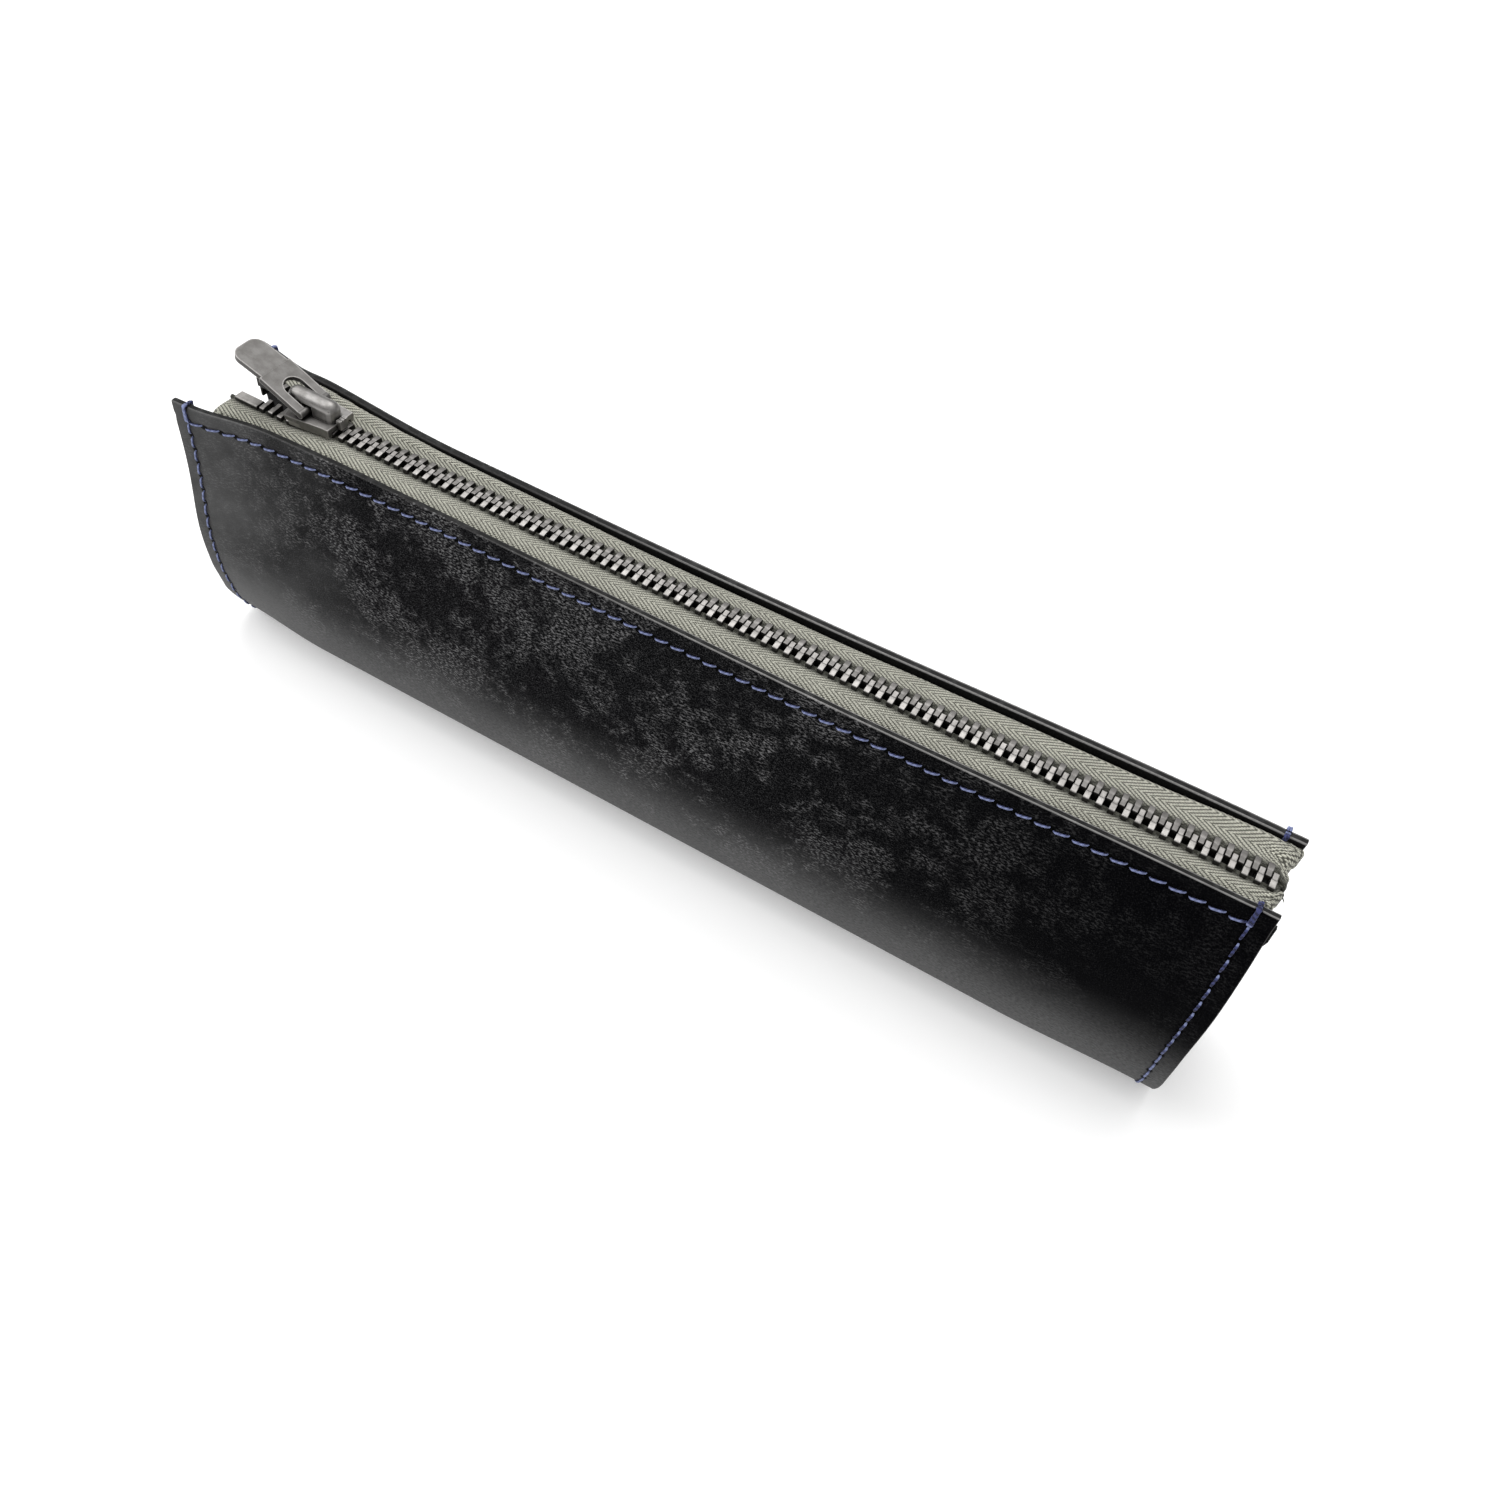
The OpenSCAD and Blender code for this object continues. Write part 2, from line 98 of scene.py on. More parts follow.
class Sock:
    """A node's output that takes part in Python expressions."""

    def __init__(self, sheet: "NodeSheet", link: bpy.types.NodeSocket) -> None:
        """Keeps the material's sheet and the output."""
        self.sheet = sheet
        self.link = link

    def maths(self, operation: str, *values: "Sock | float") -> "Sock":
        """A Math node on the values given, in order."""
        return self.sheet.node("ShaderNodeMath", {"operation": operation}, dict(enumerate(values)))

    def __add__(self, other: "Sock | float") -> "Sock":
        """Sum."""
        return self.maths("ADD", self, other)

    __radd__ = __add__

    def __mul__(self, other: "Sock | float") -> "Sock":
        """Product."""
        return self.maths("MULTIPLY", self, other)

    __rmul__ = __mul__

    def __sub__(self, other: "Sock | float") -> "Sock":
        """Difference."""
        return self.maths("SUBTRACT", self, other)

    def __rsub__(self, other: float) -> "Sock":
        """Reflected difference."""
        return self.maths("SUBTRACT", other, self)

    def __truediv__(self, other: "Sock | float") -> "Sock":
        """Quotient."""
        return self.maths("DIVIDE", self, other)

    def __rtruediv__(self, other: float) -> "Sock":
        """Reflected quotient."""
        return self.maths("DIVIDE", other, self)

    def __abs__(self) -> "Sock":
        """Size without sign."""
        return self.maths("ABSOLUTE", self)

    def sine(self) -> "Sock":
        """Sine of the value in radians."""
        return self.maths("SINE", self)

    def whole(self) -> "Sock":
        """Value rounded down."""
        return self.maths("FLOOR", self)

    def part(self) -> "Sock":
        """Value less its whole part."""
        return self.maths("FRACT", self)

    def zigzag(self, period: float) -> "Sock":
        """Distance to the nearest multiple of a period."""
        return self.maths("PINGPONG", self, period / 2)

    def least(self, other: "Sock | float") -> "Sock":
        """Smaller of two values."""
        return self.maths("MINIMUM", self, other)

    def most(self, other: "Sock | float") -> "Sock":
        """Larger of two values."""
        return self.maths("MAXIMUM", self, other)

    def step(self, low: float, high: float) -> "Sock":
        """Smooth step of the value.

        Args:
            low: Where the step leaves 0.
            high: Where the step reaches 1, above or below low.

        Returns:
            Values from 0 to 1.
        """
        settings = {"interpolation_type": "SMOOTHSTEP"}
        if low < high:
            return self.sheet.node("ShaderNodeMapRange", settings, {0: self, 1: low, 2: high})
        return 1 - self.sheet.node("ShaderNodeMapRange", settings, {0: self, 1: high, 2: low})


class NodeSheet:
    """The node tree of one material or of the surroundings."""

    def __init__(self, owner: bpy.types.Material | bpy.types.World) -> None:
        """Empties the owner's node tree.

        Args:
            owner: The material or world that is written.
        """
        self.owner = owner
        self.owner.use_nodes = True
        self.tree = owner.node_tree
        self.tree.nodes.clear()

    @classmethod
    def of_material(cls, name: str) -> "NodeSheet":
        """A sheet for a new material of that name."""
        return cls(bpy.data.materials.new(name))

    def node(
        self,
        kind: str,
        settings: dict[str, Any] | None = None,
        inputs: dict[int | str, Any] | None = None,
        output: int | str = 0,
    ) -> Sock | None:
        """Adds any node.

        Args:
            kind: The node's type.
            settings: Its own settings, which are set first.
            inputs: Values or links of its sockets, by index or name.
            output: The output to return.

        Returns:
            That output, or None for a node without one.
        """
        made = self.tree.nodes.new(kind)
        for key, value in (settings or {}).items():
            setattr(made, key, value)
        for key, value in (inputs or {}).items():
            if isinstance(value, Sock):
                self.tree.links.new(value.link, made.inputs[key])
            else:
                made.inputs[key].default_value = value
        return Sock(self, made.outputs[output]) if made.outputs else None

    def split(self, vector: Sock) -> tuple[Sock, Sock, Sock]:
        """Takes a vector apart.

        Args:
            vector: The vector.

        Returns:
            Its three parts.
        """
        made = self.node("ShaderNodeSeparateXYZ", inputs={0: vector})
        outputs = made.link.node.outputs
        return Sock(self, outputs[0]), Sock(self, outputs[1]), Sock(self, outputs[2])

    def noise(self, at: Sock, scale: float, detail: float = 2.0, rough: float = 0.5) -> Sock:
        """Cloudy noise.

        Args:
            at: Place in millimetres.
            scale: Features per millimetre.
            detail: Finer layers on top.
            rough: Weight of the finer layers.

        Returns:
            Values of about 0 to 1.
        """
        return self.node(
            "ShaderNodeTexNoise",
            {"noise_dimensions": "3D"},
            {"Vector": at, "Scale": scale, "Detail": detail, "Roughness": rough},
        )

    def cells(self, at: Sock, scale: float, smoothness: float = 0.6) -> Sock:
        """Rounded cells, as in a pebble grain.

        Args:
            at: Place in millimetres.
            scale: Cells per millimetre.
            smoothness: How softly the cells meet.

        Returns:
            Distance from each cell's middle.
        """
        return self.node(
            "ShaderNodeTexVoronoi",
            {"feature": "SMOOTH_F1"},
            {"Vector": at, "Scale": scale, "Smoothness": smoothness},
        )

    def mix(self, share: "Sock | float", a: "Sock | Colour", b: "Sock | Colour") -> Sock:
        """Colour a where share is 0 and b where it is 1."""
        return self.node("ShaderNodeMix", {"data_type": "RGBA"}, {0: share, 6: a, 7: b}, 2)

    def surface_place(self) -> tuple[Sock, Sock, Sock]:
        """Place on an unrolled surface, in millimetres.

        Returns:
            The place as a vector, how far along, and how far across.
        """
        flat = self.node("ShaderNodeUVMap", {"uv_map": PLACES})
        place = self.node("ShaderNodeVectorMath", {"operation": "SCALE"}, {0: flat, "Scale": 1 / MM})
        along, across, _ = self.split(place)
        return place, along, across

    def solid_place(self) -> Sock:
        """Place in the piece's own space, in millimetres."""
        at = self.node("ShaderNodeTexCoord", output="Object")
        return self.node("ShaderNodeVectorMath", {"operation": "SCALE"}, {0: at, "Scale": 1 / MM})

    def stretch(self, place: Sock, scale: Point, turn: float = 0.0) -> Sock:
        """Scales a place, so that what is drawn on it is drawn out or squeezed.

        Args:
            place: The place.
            scale: Factor along each axis.
            turn: Turn about Z in degrees.

        Returns:
            The scaled and turned place.
        """
        return self.node(
            "ShaderNodeMapping",
            {"vector_type": "POINT"},
            {"Vector": place, "Rotation": (0, 0, math.radians(turn)), "Scale": scale},
        )

    def bump(self, height: Sock, depth: float, strength: float = 1.0) -> Sock:
        """Turns a relief into a normal.

        Args:
            height: The relief, from 0 to 1.
            depth: What 1 stands for, in millimetres.
            strength: How much of the relief is taken.

        Returns:
            The normal.
        """
        inputs = {"Height": height, "Distance": depth * MM, "Strength": strength}
        return self.node("ShaderNodeBump", inputs=inputs)

    def finish(self, **sockets: Any) -> bpy.types.Material:
        """Adds the surface shader.

        Args:
            sockets: Its inputs, with spaces in their names written as underscores.

        Returns:
            The finished material.
        """
        inputs = {key.replace("_", " "): value for key, value in sockets.items()}
        shader = self.node("ShaderNodeBsdfPrincipled", inputs=inputs)
        self.node("ShaderNodeOutputMaterial", inputs={"Surface": shader})
        return self.owner


# ---------------------------------------------------------------- sizes shared by the pieces


class Side(Enum):
    """The two rows and walls of the case."""

    FRONT = -1
    BACK = 1


class End(Enum):
    """The two ends of the case."""

    SLIDER = -1
    FAR = 1


@dataclass(frozen=True)
class Stitching:
    """Sewing shared by the seams and by the leather that they pucker.

    A stitch is visible over part of its pitch. The thread's size is its radius, its twist is in turns
    per millimetre, and a stitch slants by that much to each side of its line.
    """

    pitch: float = 2.95
    visible: float = 2.5
    inset: float = 3.0
    thread: float = 0.215
    twist: float = 0.8
    slant: float = 0.24
    first_hole: float = -96.0


@dataclass(frozen=True)
class CaseShape:
    """Outer form of the case, which the frame's box and the hinge line fix."""

    # Box and hinge line, from the frame.
    length: float = (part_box("back_panel")[1].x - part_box("back_panel")[0].x) / MM
    height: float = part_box("back_panel")[1].z / MM
    foot_y: float = -FOLD_AT[1] / MM
    foot_z: float = FOLD_AT[2] / MM
    # The folded sheet.
    half_mouth: float = 8.2
    base_radius: float = 10.0
    half_flat: float = 2.6
    leather: float = 1.5
    # The top edges, which spread at the slider's end and wander a little elsewhere.
    flare: float = 3.2
    flare_length: float = 46.0
    curled: float = 1.7
    drawn_in: float = 1.2
    slack: float = 1.3
    snug: float = 0.9
    dip: float = 0.8
    dip_place: float = 10.0
    dip_reach: float = 5.0
    edge_drop: float = 0.15
    # The walls' swelling.
    swell: float = 1.2
    near_swell: float = 0.15
    far_swell: float = 1.9
    swell_height: float = 30.0
    swell_reach: float = 11.0
    back_share: float = 0.65
    # The lower corners, drawn in from the full round.
    middle_tuck: float = 0.3
    near_tuck: float = 1.4
    far_tuck: float = 1.0
    tuck_height: float = 5.5
    tuck_reach: float = 5.5

    @property
    def x_left(self) -> float:
        """X of the end where the slider rests."""
        return -self.length / 2

    @property
    def x_right(self) -> float:
        """X of the far end."""
        return self.length / 2

    @property
    def wall_run(self) -> float:
        """Length of the wall from the top edge to its foot."""
        return math.hypot(self.foot_y - self.half_mouth, self.height - self.foot_z)

    @property
    def corner_run(self) -> float:
        """Length of the base's curve from a wall's foot to the flat strip."""
        return self.base_radius * math.acos((self.base_radius - self.foot_z) / self.base_radius)

    def edge_y(self, x: np.ndarray, side: Side) -> np.ndarray:
        """How far a top edge stands from the middle plane.

        Args:
            x: Places along the case.
            side: The wall.

        Returns:
            Distances, without sign.
        """
        fading = np.clip(1 - (x - self.x_left) / self.flare_length, 0, 1) ** 2
        if side is Side.FRONT:
            curl = self.curled * smooth(12, 3, x - self.x_left)
            drawn = self.drawn_in * smooth(20, 99, x)
            return self.half_mouth + (self.flare - self.curled) * fading + curl - drawn
        slack = self.slack * smooth(20, 90, x) - self.snug * smooth(-80, -50, x) * smooth(60, -20, x)
        return self.half_mouth + self.flare * fading + slack

    def belly(self, x: np.ndarray, z: np.ndarray) -> np.ndarray:
        """How far the filled walls bulge out between the top edge and the foot.

        Args:
            x: Places along the case.
            z: Heights.

        Returns:
            Distances outwards.
        """
        near, far = smooth(-50, -99, x), smooth(30, 99, x)
        above = z - self.swell_height + 4 * near - 5 * far
        round_shape = np.exp(-((above / (self.swell_reach + 3 * far)) ** 2))
        amount = self.swell + self.near_swell * near + self.far_swell * far
        return amount * round_shape * smooth(0, 9, self.height - z) * smooth(0, 6, z - self.foot_z)

    def tucked(self, x: np.ndarray, z: np.ndarray) -> np.ndarray:
        """How far the lower corners draw in from the base's full round.

        Args:
            x: Places along the case.
            z: Heights.

        Returns:
            Distances inwards, largest at the two ends.
        """
        amount = self.middle_tuck + self.far_tuck * smooth(70, 98, x) + self.near_tuck * smooth(-75, -98, x)
        return amount * np.exp(-(((z - self.tuck_height) / self.tuck_reach) ** 2))

    def wall(self, x: np.ndarray, run: np.ndarray, side: Side) -> tuple[np.ndarray, np.ndarray]:
        """Outer face of a wall.

        Args:
            x: Places along the case.
            run: Distances down from the top edge.
            side: The wall.

        Returns:
            Y and Z of each place.
        """
        down = run / self.wall_run
        top = self.edge_y(x, side)
        up = (1 - down) * (self.height - self.foot_z)
        height = up + self.foot_z
        filled = 1.0 if side is Side.FRONT else self.back_share
        y = top + (self.foot_y - top) * down + filled * self.belly(x, height) - self.tucked(x, height)
        dip = self.dip * np.exp(-(((x - self.x_left - self.dip_place) / self.dip_reach) ** 2))
        edge = self.height - self.edge_drop
        z = edge + (self.foot_z - self.height + self.edge_drop) * down - dip * smooth(0.5, 0, down)
        return side.value * y, z

    def inside(self, x: np.ndarray, z: np.ndarray, side: Side) -> np.ndarray:
        """Inner face of a wall, or of the base's curve below its foot.

        Args:
            x: Places along the case.
            z: Heights.
            side: The wall.

        Returns:
            Distances from the middle plane.
        """
        run = self.wall_run * (self.height - z) / (self.height - self.foot_z)
        y, _ = self.wall(x, np.clip(run, 0, self.wall_run), side)
        inner = self.base_radius - self.leather
        arc = self.half_flat + np.sqrt(np.clip(inner**2 - (z - self.base_radius) ** 2, 0, None))
        arc = arc - self.tucked(x, z)
        return np.where(z >= self.foot_z, np.abs(y) - self.leather, arc)

    def base(self, x: np.ndarray, run: np.ndarray) -> tuple[np.ndarray, np.ndarray]:
        """Outer face round the base, from the front wall's foot to the back wall's foot.

        Args:
            x: Places along the case.
            run: Distances from the front foot.

        Returns:
            Y and Z of each place.
        """
        corner, flat = self.corner_run, 2 * self.half_flat
        start = math.asin((self.foot_z - self.base_radius) / self.base_radius)
        mirrored = np.where(run > corner + flat / 2, 2 * corner + flat - run, run)
        angle = start - np.clip(mirrored, 0, corner) / self.base_radius
        y = self.half_flat + self.base_radius * np.cos(angle)
        z = self.base_radius + self.base_radius * np.sin(angle)
        past = np.clip(mirrored - corner, 0, None)
        y = np.where(mirrored > corner, self.half_flat - past, y)
        z = np.where(mirrored > corner, 0.0, z)
        y = y - self.tucked(x, z) * smooth(0, self.half_flat + 2, y)
        return np.where(run > corner + flat / 2, y, -y), z


CASE = CaseShape()
SEWING = Stitching()


# ---------------------------------------------------------------- meshes


class Mesher:
    """Collects the faces of one piece."""

    ply_swell: float = 0.09

    def __init__(self) -> None:
        """Starts an empty mesh."""
        self.points: list[np.ndarray] = []
        self.places: list[np.ndarray] = []
        self.faces: list[tuple[int, ...]] = []
        self.slots: list[int] = []
        self.count = 0

    def add_points(self, points: np.ndarray, places: np.ndarray) -> int:
        """Adds points, in millimetres.

        Args:
            points: The points, in a list or a grid.
            places: Their places on the unrolled surface.

        Returns:
            The first point's number.
        """
        first = self.count
        self.points.append(points.reshape(-1, 3))
        self.places.append(places.reshape(-1, 2))
        self.count += len(self.points[-1])
        return first

    def add_quads(self, quads: np.ndarray, slot: int) -> None:
        """Adds four-cornered faces that wear one material slot."""
        self.faces.extend(map(tuple, quads.reshape(-1, 4).tolist()))
        self.slots.extend([slot] * len(quads.reshape(-1, 4)))

    def add_sheet(
        self,
        middle: np.ndarray,
        places: np.ndarray,
        half: np.ndarray,
        slots: tuple[int, int, int] = (0, 0, 0),
    ) -> None:
        """Adds a sheet of real thickness, closed along its four borders.

        Args:
            middle: Grid of points midway through the sheet.
            places: Surface place of each point.
            half: Half the thickness at each point.
            slots: Material slots of the outer face, the inner face and the borders.
        """
        rows, columns = middle.shape[:2]
        normal = np.cross(np.gradient(middle, axis=0), np.gradient(middle, axis=1))
        normal /= np.linalg.norm(normal, axis=2, keepdims=True)
        outer = self.add_points(middle + normal * half[..., None], places)
        inner = self.add_points(middle - normal * half[..., None], places)
        number = np.arange(rows * columns).reshape(rows, columns)
        a, b, c, d = number[:-1, :-1], number[1:, :-1], number[1:, 1:], number[:-1, 1:]
        self.add_quads(outer + np.stack([a, b, c, d], -1), slots[0])
        self.add_quads(inner + np.stack([a, d, c, b], -1), slots[1])
        border = np.concatenate([number[0, :-1], number[:-1, -1], number[-1, :0:-1], number[:0:-1, 0]])
        after = np.roll(border, -1)
        hem = [outer + border, outer + after, inner + after, inner + border]
        self.add_quads(np.stack(hem, -1), slots[2])

    def add_tube(
        self,
        path: np.ndarray,
        radius: np.ndarray,
        sides: int,
        across: float = 0.0,
        plies: float = 0.0,
        crown: np.ndarray | None = None,
    ) -> None:
        """Adds a closed tube along a path.

        Args:
            path: Points that it follows.
            radius: Radius at each point.
            sides: Number of sides.
            across: Surface place across at its middle.
            plies: Full turns per millimetre of a two-ply twist.
            crown: Direction in which the surface place across grows, or None for upwards.
        """
        heading = np.gradient(path, axis=0)
        heading /= np.linalg.norm(heading, axis=1, keepdims=True)
        helper = np.array([0.0, 0.0, 1.0]) if abs(heading[0, 2]) < 0.8 else np.array([0.0, 1.0, 0.0])
        helper = helper if crown is None else crown
        sideways = np.cross(heading, helper)
        sideways /= np.linalg.norm(sideways, axis=1, keepdims=True)
        up = np.cross(sideways, heading)
        run = np.concatenate([[0], np.cumsum(np.linalg.norm(np.diff(path, axis=0), axis=1))])
        angle = np.arange(sides) * 2 * math.pi / sides
        twist = np.cos(2 * (angle[None] - 2 * math.pi * plies * run[:, None]))
        bulk = 1 + (self.ply_swell * twist if plies else 0)
        ring = radius[:, None] * bulk * np.ones((len(path), sides))
        points = (
            path[:, None]
            + sideways[:, None] * (ring * np.cos(angle))[..., None]
            + up[:, None] * (ring * np.sin(angle))[..., None]
        )
        along = np.broadcast_to(run[:, None], ring.shape)
        places = np.stack([along, across + radius[:, None] * np.sin(angle)], -1)
        first = self.add_points(points, places)
        number = first + np.arange(len(path) * sides).reshape(len(path), sides)
        after = np.roll(number, -1, axis=1)
        self.add_quads(np.stack([number[:-1], after[:-1], after[1:], number[1:]], -1), 0)
        self.add_caps(number[0, ::-1], number[-1])

    def add_caps(self, first: np.ndarray, last: np.ndarray) -> None:
        """Closes a tube with one many-cornered face at each end, in the order given."""
        self.faces.extend([tuple(first.tolist()), tuple(last.tolist())])
        self.slots.extend([0, 0])

    def add_mesh(self, mesh: bpy.types.Mesh, places: list[Point], mirror: float = 1.0) -> None:
        """Adds copies of a mesh in millimetres.

        Args:
            mesh: The mesh to copy.
            places: Where each copy's origin goes.
            mirror: -1 turns the copies over along Y.
        """
        at = np.array([v.co[:] for v in mesh.vertices])
        at[:, 1] *= mirror
        order = 1 if mirror > 0 else -1
        faces = [tuple(p.vertices)[::order] for p in mesh.polygons]
        for place in places:
            first = self.add_points(at + np.array(place), at[:, :2] + np.array(place[:2]))
            self.faces.extend(tuple(first + i for i in f) for f in faces)
            self.slots.extend([0] * len(faces))

    def build(
        self, name: str, materials: list[bpy.types.Material], hard_angle: float = 180.0
    ) -> bpy.types.Object:
        """Makes the object.

        Args:
            name: The piece's name.
            materials: Its material slots.
            hard_angle: Edges sharper than this many degrees stay sharp.

        Returns:
            The object, in metres.
        """
        mesh = bpy.data.meshes.new(name)
        mesh.from_pydata((np.concatenate(self.points) * MM).tolist(), [], self.faces)
        places = np.concatenate(self.places) * MM
        corners = np.empty(len(mesh.loops), np.int32)
        mesh.loops.foreach_get("vertex_index", corners)
        layer = mesh.uv_layers.new(name=PLACES)
        layer.uv.foreach_set("vector", places[corners].astype(np.float32).ravel())
        mesh.polygons.foreach_set("material_index", np.array(self.slots, np.int32))
        mesh.polygons.foreach_set("use_smooth", np.ones(len(mesh.polygons), bool))
        if hard_angle < 180:
            mesh.set_sharp_from_angle(angle=math.radians(hard_angle))
        for material in materials:
            mesh.materials.append(material)
        mesh.update()
        made = bpy.data.objects.new(name, mesh)
        bpy.context.scene.collection.objects.link(made)
        LOG.info("%s: %d points, %d faces", name, len(mesh.vertices), len(mesh.polygons))
        return made


def spaced(low: float, high: float, step: float, edge: float = 0.0) -> np.ndarray:
    """Even places between two ends, closer together in a rounded edge at each end.

    Args:
        low: First place.
        high: Last place.
        step: Largest step.
        edge: Length of each rounded edge, or 0.

    Returns:
        Rising places.
    """
    inside = np.linspace(low + edge, high - edge, max(2, math.ceil((high - low) / step)))
    if not edge:
        return inside
    ease = edge * (1 - np.cos(np.linspace(0, math.pi / 2, 6)))[:-1]
    return np.concatenate([low + ease, inside, (high - ease)[::-1]])


def rounded(distance: np.ndarray, radius: float, half: float) -> np.ndarray:
    """Half thickness of a sheet near a rounded edge.

    Args:
        distance: Distance from the edge.
        radius: Radius of the edge's two corners.
        half: Half thickness away from the edge.

    Returns:
        Half thickness at each distance.
    """
    near = np.clip(radius - distance, 0, radius)
    return half - radius + np.sqrt(radius**2 - near**2)


def curve_through(points: list[tuple[float, ...]], count: int) -> np.ndarray:
    """Smooth curve through points, evenly resampled.

    Args:
        points: The points, in two or three dimensions.
        count: Number of points wanted.

    Returns:
        Points on the curve.
    """
    p = np.array([points[0], *points, points[-1]], float)
    t = np.linspace(0, 1, 12, endpoint=False)[:, None]
    pieces = []
    for i in range(1, len(p) - 2):
        a, b, c, d = p[i - 1], p[i], p[i + 1], p[i + 2]
        pieces.append(
            0.5 * (2 * b + (c - a) * t + (2 * a - 5 * b + 4 * c - d) * t**2 + (3 * b - a - 3 * c + d) * t**3)
        )
    dense = np.concatenate([*pieces, p[-1:]])
    run = np.concatenate([[0], np.cumsum(np.linalg.norm(np.diff(dense, axis=0), axis=1))])
    wanted = np.linspace(0, run[-1], count)
    return np.stack([np.interp(wanted, run, dense[:, k]) for k in range(dense.shape[1])], -1)


# ---------------------------------------------------------------- finishes


def painted_rim_highlight(rim: Sock, along: Sock) -> Sock:
    """Share of a cut rim that gets a painted highlight, which fades towards the slider's end."""
    return (rim * (along.step(-45, 15) * 0.85 + 0.15)).least(1.0)


@dataclass(frozen=True)
class GrainLeather:
    """Dyed and waxed calf with a mottled nap over a fine pebble grain, with a painted highlight on its cut
    rims and a painted floor reflection low on its walls.
    """

    name: str = "waxed_leather"
    dark: Colour = (0.0010, 0.0010, 0.0015, 1.0)
    fleck: Colour = (0.17, 0.168, 0.17, 1.0)
    speck: Colour = (0.12, 0.12, 0.125, 1.0)
    # Paler towards the slider's end, with a painted floor reflection added low on the walls.
    pale_end_and_floor_sheen: Colour = (0.1, 0.1, 0.1, 1.0)
    # Painted reflection of the floor on the lower walls.
    wear_and_floor_sheen: Colour = grey(0.2)
    # brink: painted highlight along the cut rims.
    brink: Colour = grey(0.3, 0.02)
    wander_scale: float = 0.06
    blotch_scale: float = 0.055
    cluster_scale: float = 0.33
    nap_scale: float = 1.45
    nap_turn: float = 24.0
    nap_length: Point = (1.0, 2.2, 1.0)
    ripple_scale: float = 1.5
    speck_scale: float = 4.6
    pebble_scale: float = 1.25
    pore_scale: float = 3.2
    relief: float = 0.07
    specular: float = 0.014
    # Along the case, from where a look begins to where it is full.
    fleck_far: Span = (92.0, 8.0)
    fleck_near: Span = (-62.0, -90.0)
    speck_far: Span = (85.0, -10.0)
    pale_near: Span = (-36.0, -82.0)
    # The same, down from the top edge and towards the front, for the painted floor reflection low on the
    # walls.
    floor_sheen_band: Span = (33.0, 47.0)
    floor_sheen_low: Span = (28.0, 58.0)
    floor_sheen_front: Span = (4.0, -4.0)

    def flecks(self, sheet: NodeSheet, place: Sock, along: Sock, cluster: Sock) -> Sock:
        """Short brushed flecks of nap in patches, sparse at both ends of the case.

        Args:
            sheet: The material's sheet.
            place: Place on the leather.
            along: Distance along the case.
            cluster: Noise that the patches follow.

        Returns:
            1 on a fleck.
        """
        brushed = sheet.stretch(place, self.nap_length, self.nap_turn)
        nap = sheet.noise(brushed, self.nap_scale, 2.5, 0.65).step(0.47, 0.66)
        blotch = sheet.noise(place, self.blotch_scale, 3.0, 0.6)
        patches = (blotch * 0.6 + cluster * 0.4).step(0.46, 0.58)
        far = along.step(*self.fleck_far) * 0.93 + 0.07
        near = 1 - along.step(*self.fleck_near) * 0.6
        return nap * (patches * 0.92 + 0.08) * (far * near)

    def hole(self, along: Sock, across: Sock) -> Sock:
        """Needle holes of a seam.

        Args:
            along: Distance along the seam from any of its holes.
            across: Distance from the seam's line.

        Returns:
            1 in a hole, falling to 0 round it.
        """
        reach = along.zigzag(SEWING.pitch) * 0.8
        return (reach * reach + across * across).step(0.42, 0.08)

    def holes(self, along: Sock, across: Sock, end: Sock) -> Sock:
        """Needle holes of the top seam and of the end seams.

        Args:
            along: Distance along the case.
            across: Distance down from the top edge.
            end: Distance from the nearer end.

        Returns:
            1 in a hole.
        """
        top = self.hole(along - SEWING.first_hole, across - SEWING.inset) * end.step(2.0, 2.6)
        return top.most(self.hole(across - SEWING.inset, end - SEWING.inset))

    def build(self) -> bpy.types.Material:
        """Builds the finish.

        Returns:
            The material.
        """
        sheet = NodeSheet.of_material(self.name)
        place, along, across = sheet.surface_place()
        _, depth, _ = sheet.split(sheet.solid_place())
        end = CASE.x_right - abs(along)
        wander = sheet.noise(place, self.wander_scale, 2.0)
        cluster = sheet.noise(place, self.cluster_scale, 3.0, 0.6)
        ripple = sheet.noise(sheet.stretch(place, self.nap_length), self.ripple_scale, 2.0, 0.6)
        flecks = self.flecks(sheet, place, along, cluster)
        sparse = along.step(*self.speck_far) * 0.8 + 0.2
        specks = sheet.noise(place, self.speck_scale, 1.0).step(0.5, 0.75) * (cluster * 1.1 - 0.05) * sparse
        # Paler towards the slider's end. The band added low on the walls is a painted floor reflection.
        pale_end_and_floor_sheen = (along + wander * 44).step(*self.pale_near) * (cluster * 0.5 + 0.55)
        pale_end_and_floor_sheen = pale_end_and_floor_sheen + across.step(*self.floor_sheen_band) * 0.3
        # Painted reflection of the floor: lighter low on the walls, and stronger on the front than on the
        # back.
        facing = depth.step(*self.floor_sheen_front) * 0.65 + 0.35
        lower = (across + wander * 4).step(*self.floor_sheen_low) * facing
        lit = lower * (ripple.step(0.25, 0.75) * 0.5 + 0.5) * 0.95
        # The cut rims along the top edge and at the ends get a painted highlight.
        rim = across.step(0.16, 0.03).most(end.step(0.2, 0.05) * 0.5) * (cluster * 0.8 + 0.2)
        holes = self.holes(along, across, end)
        colour = sheet.mix(pale_end_and_floor_sheen.least(1.0), self.dark, self.pale_end_and_floor_sheen)
        colour = sheet.mix(lit, colour, self.wear_and_floor_sheen)
        colour = sheet.mix(flecks, colour, self.fleck)
        colour = sheet.mix(specks * 0.75, colour, self.speck)
        colour = sheet.mix(painted_rim_highlight(rim, along), colour, self.brink)
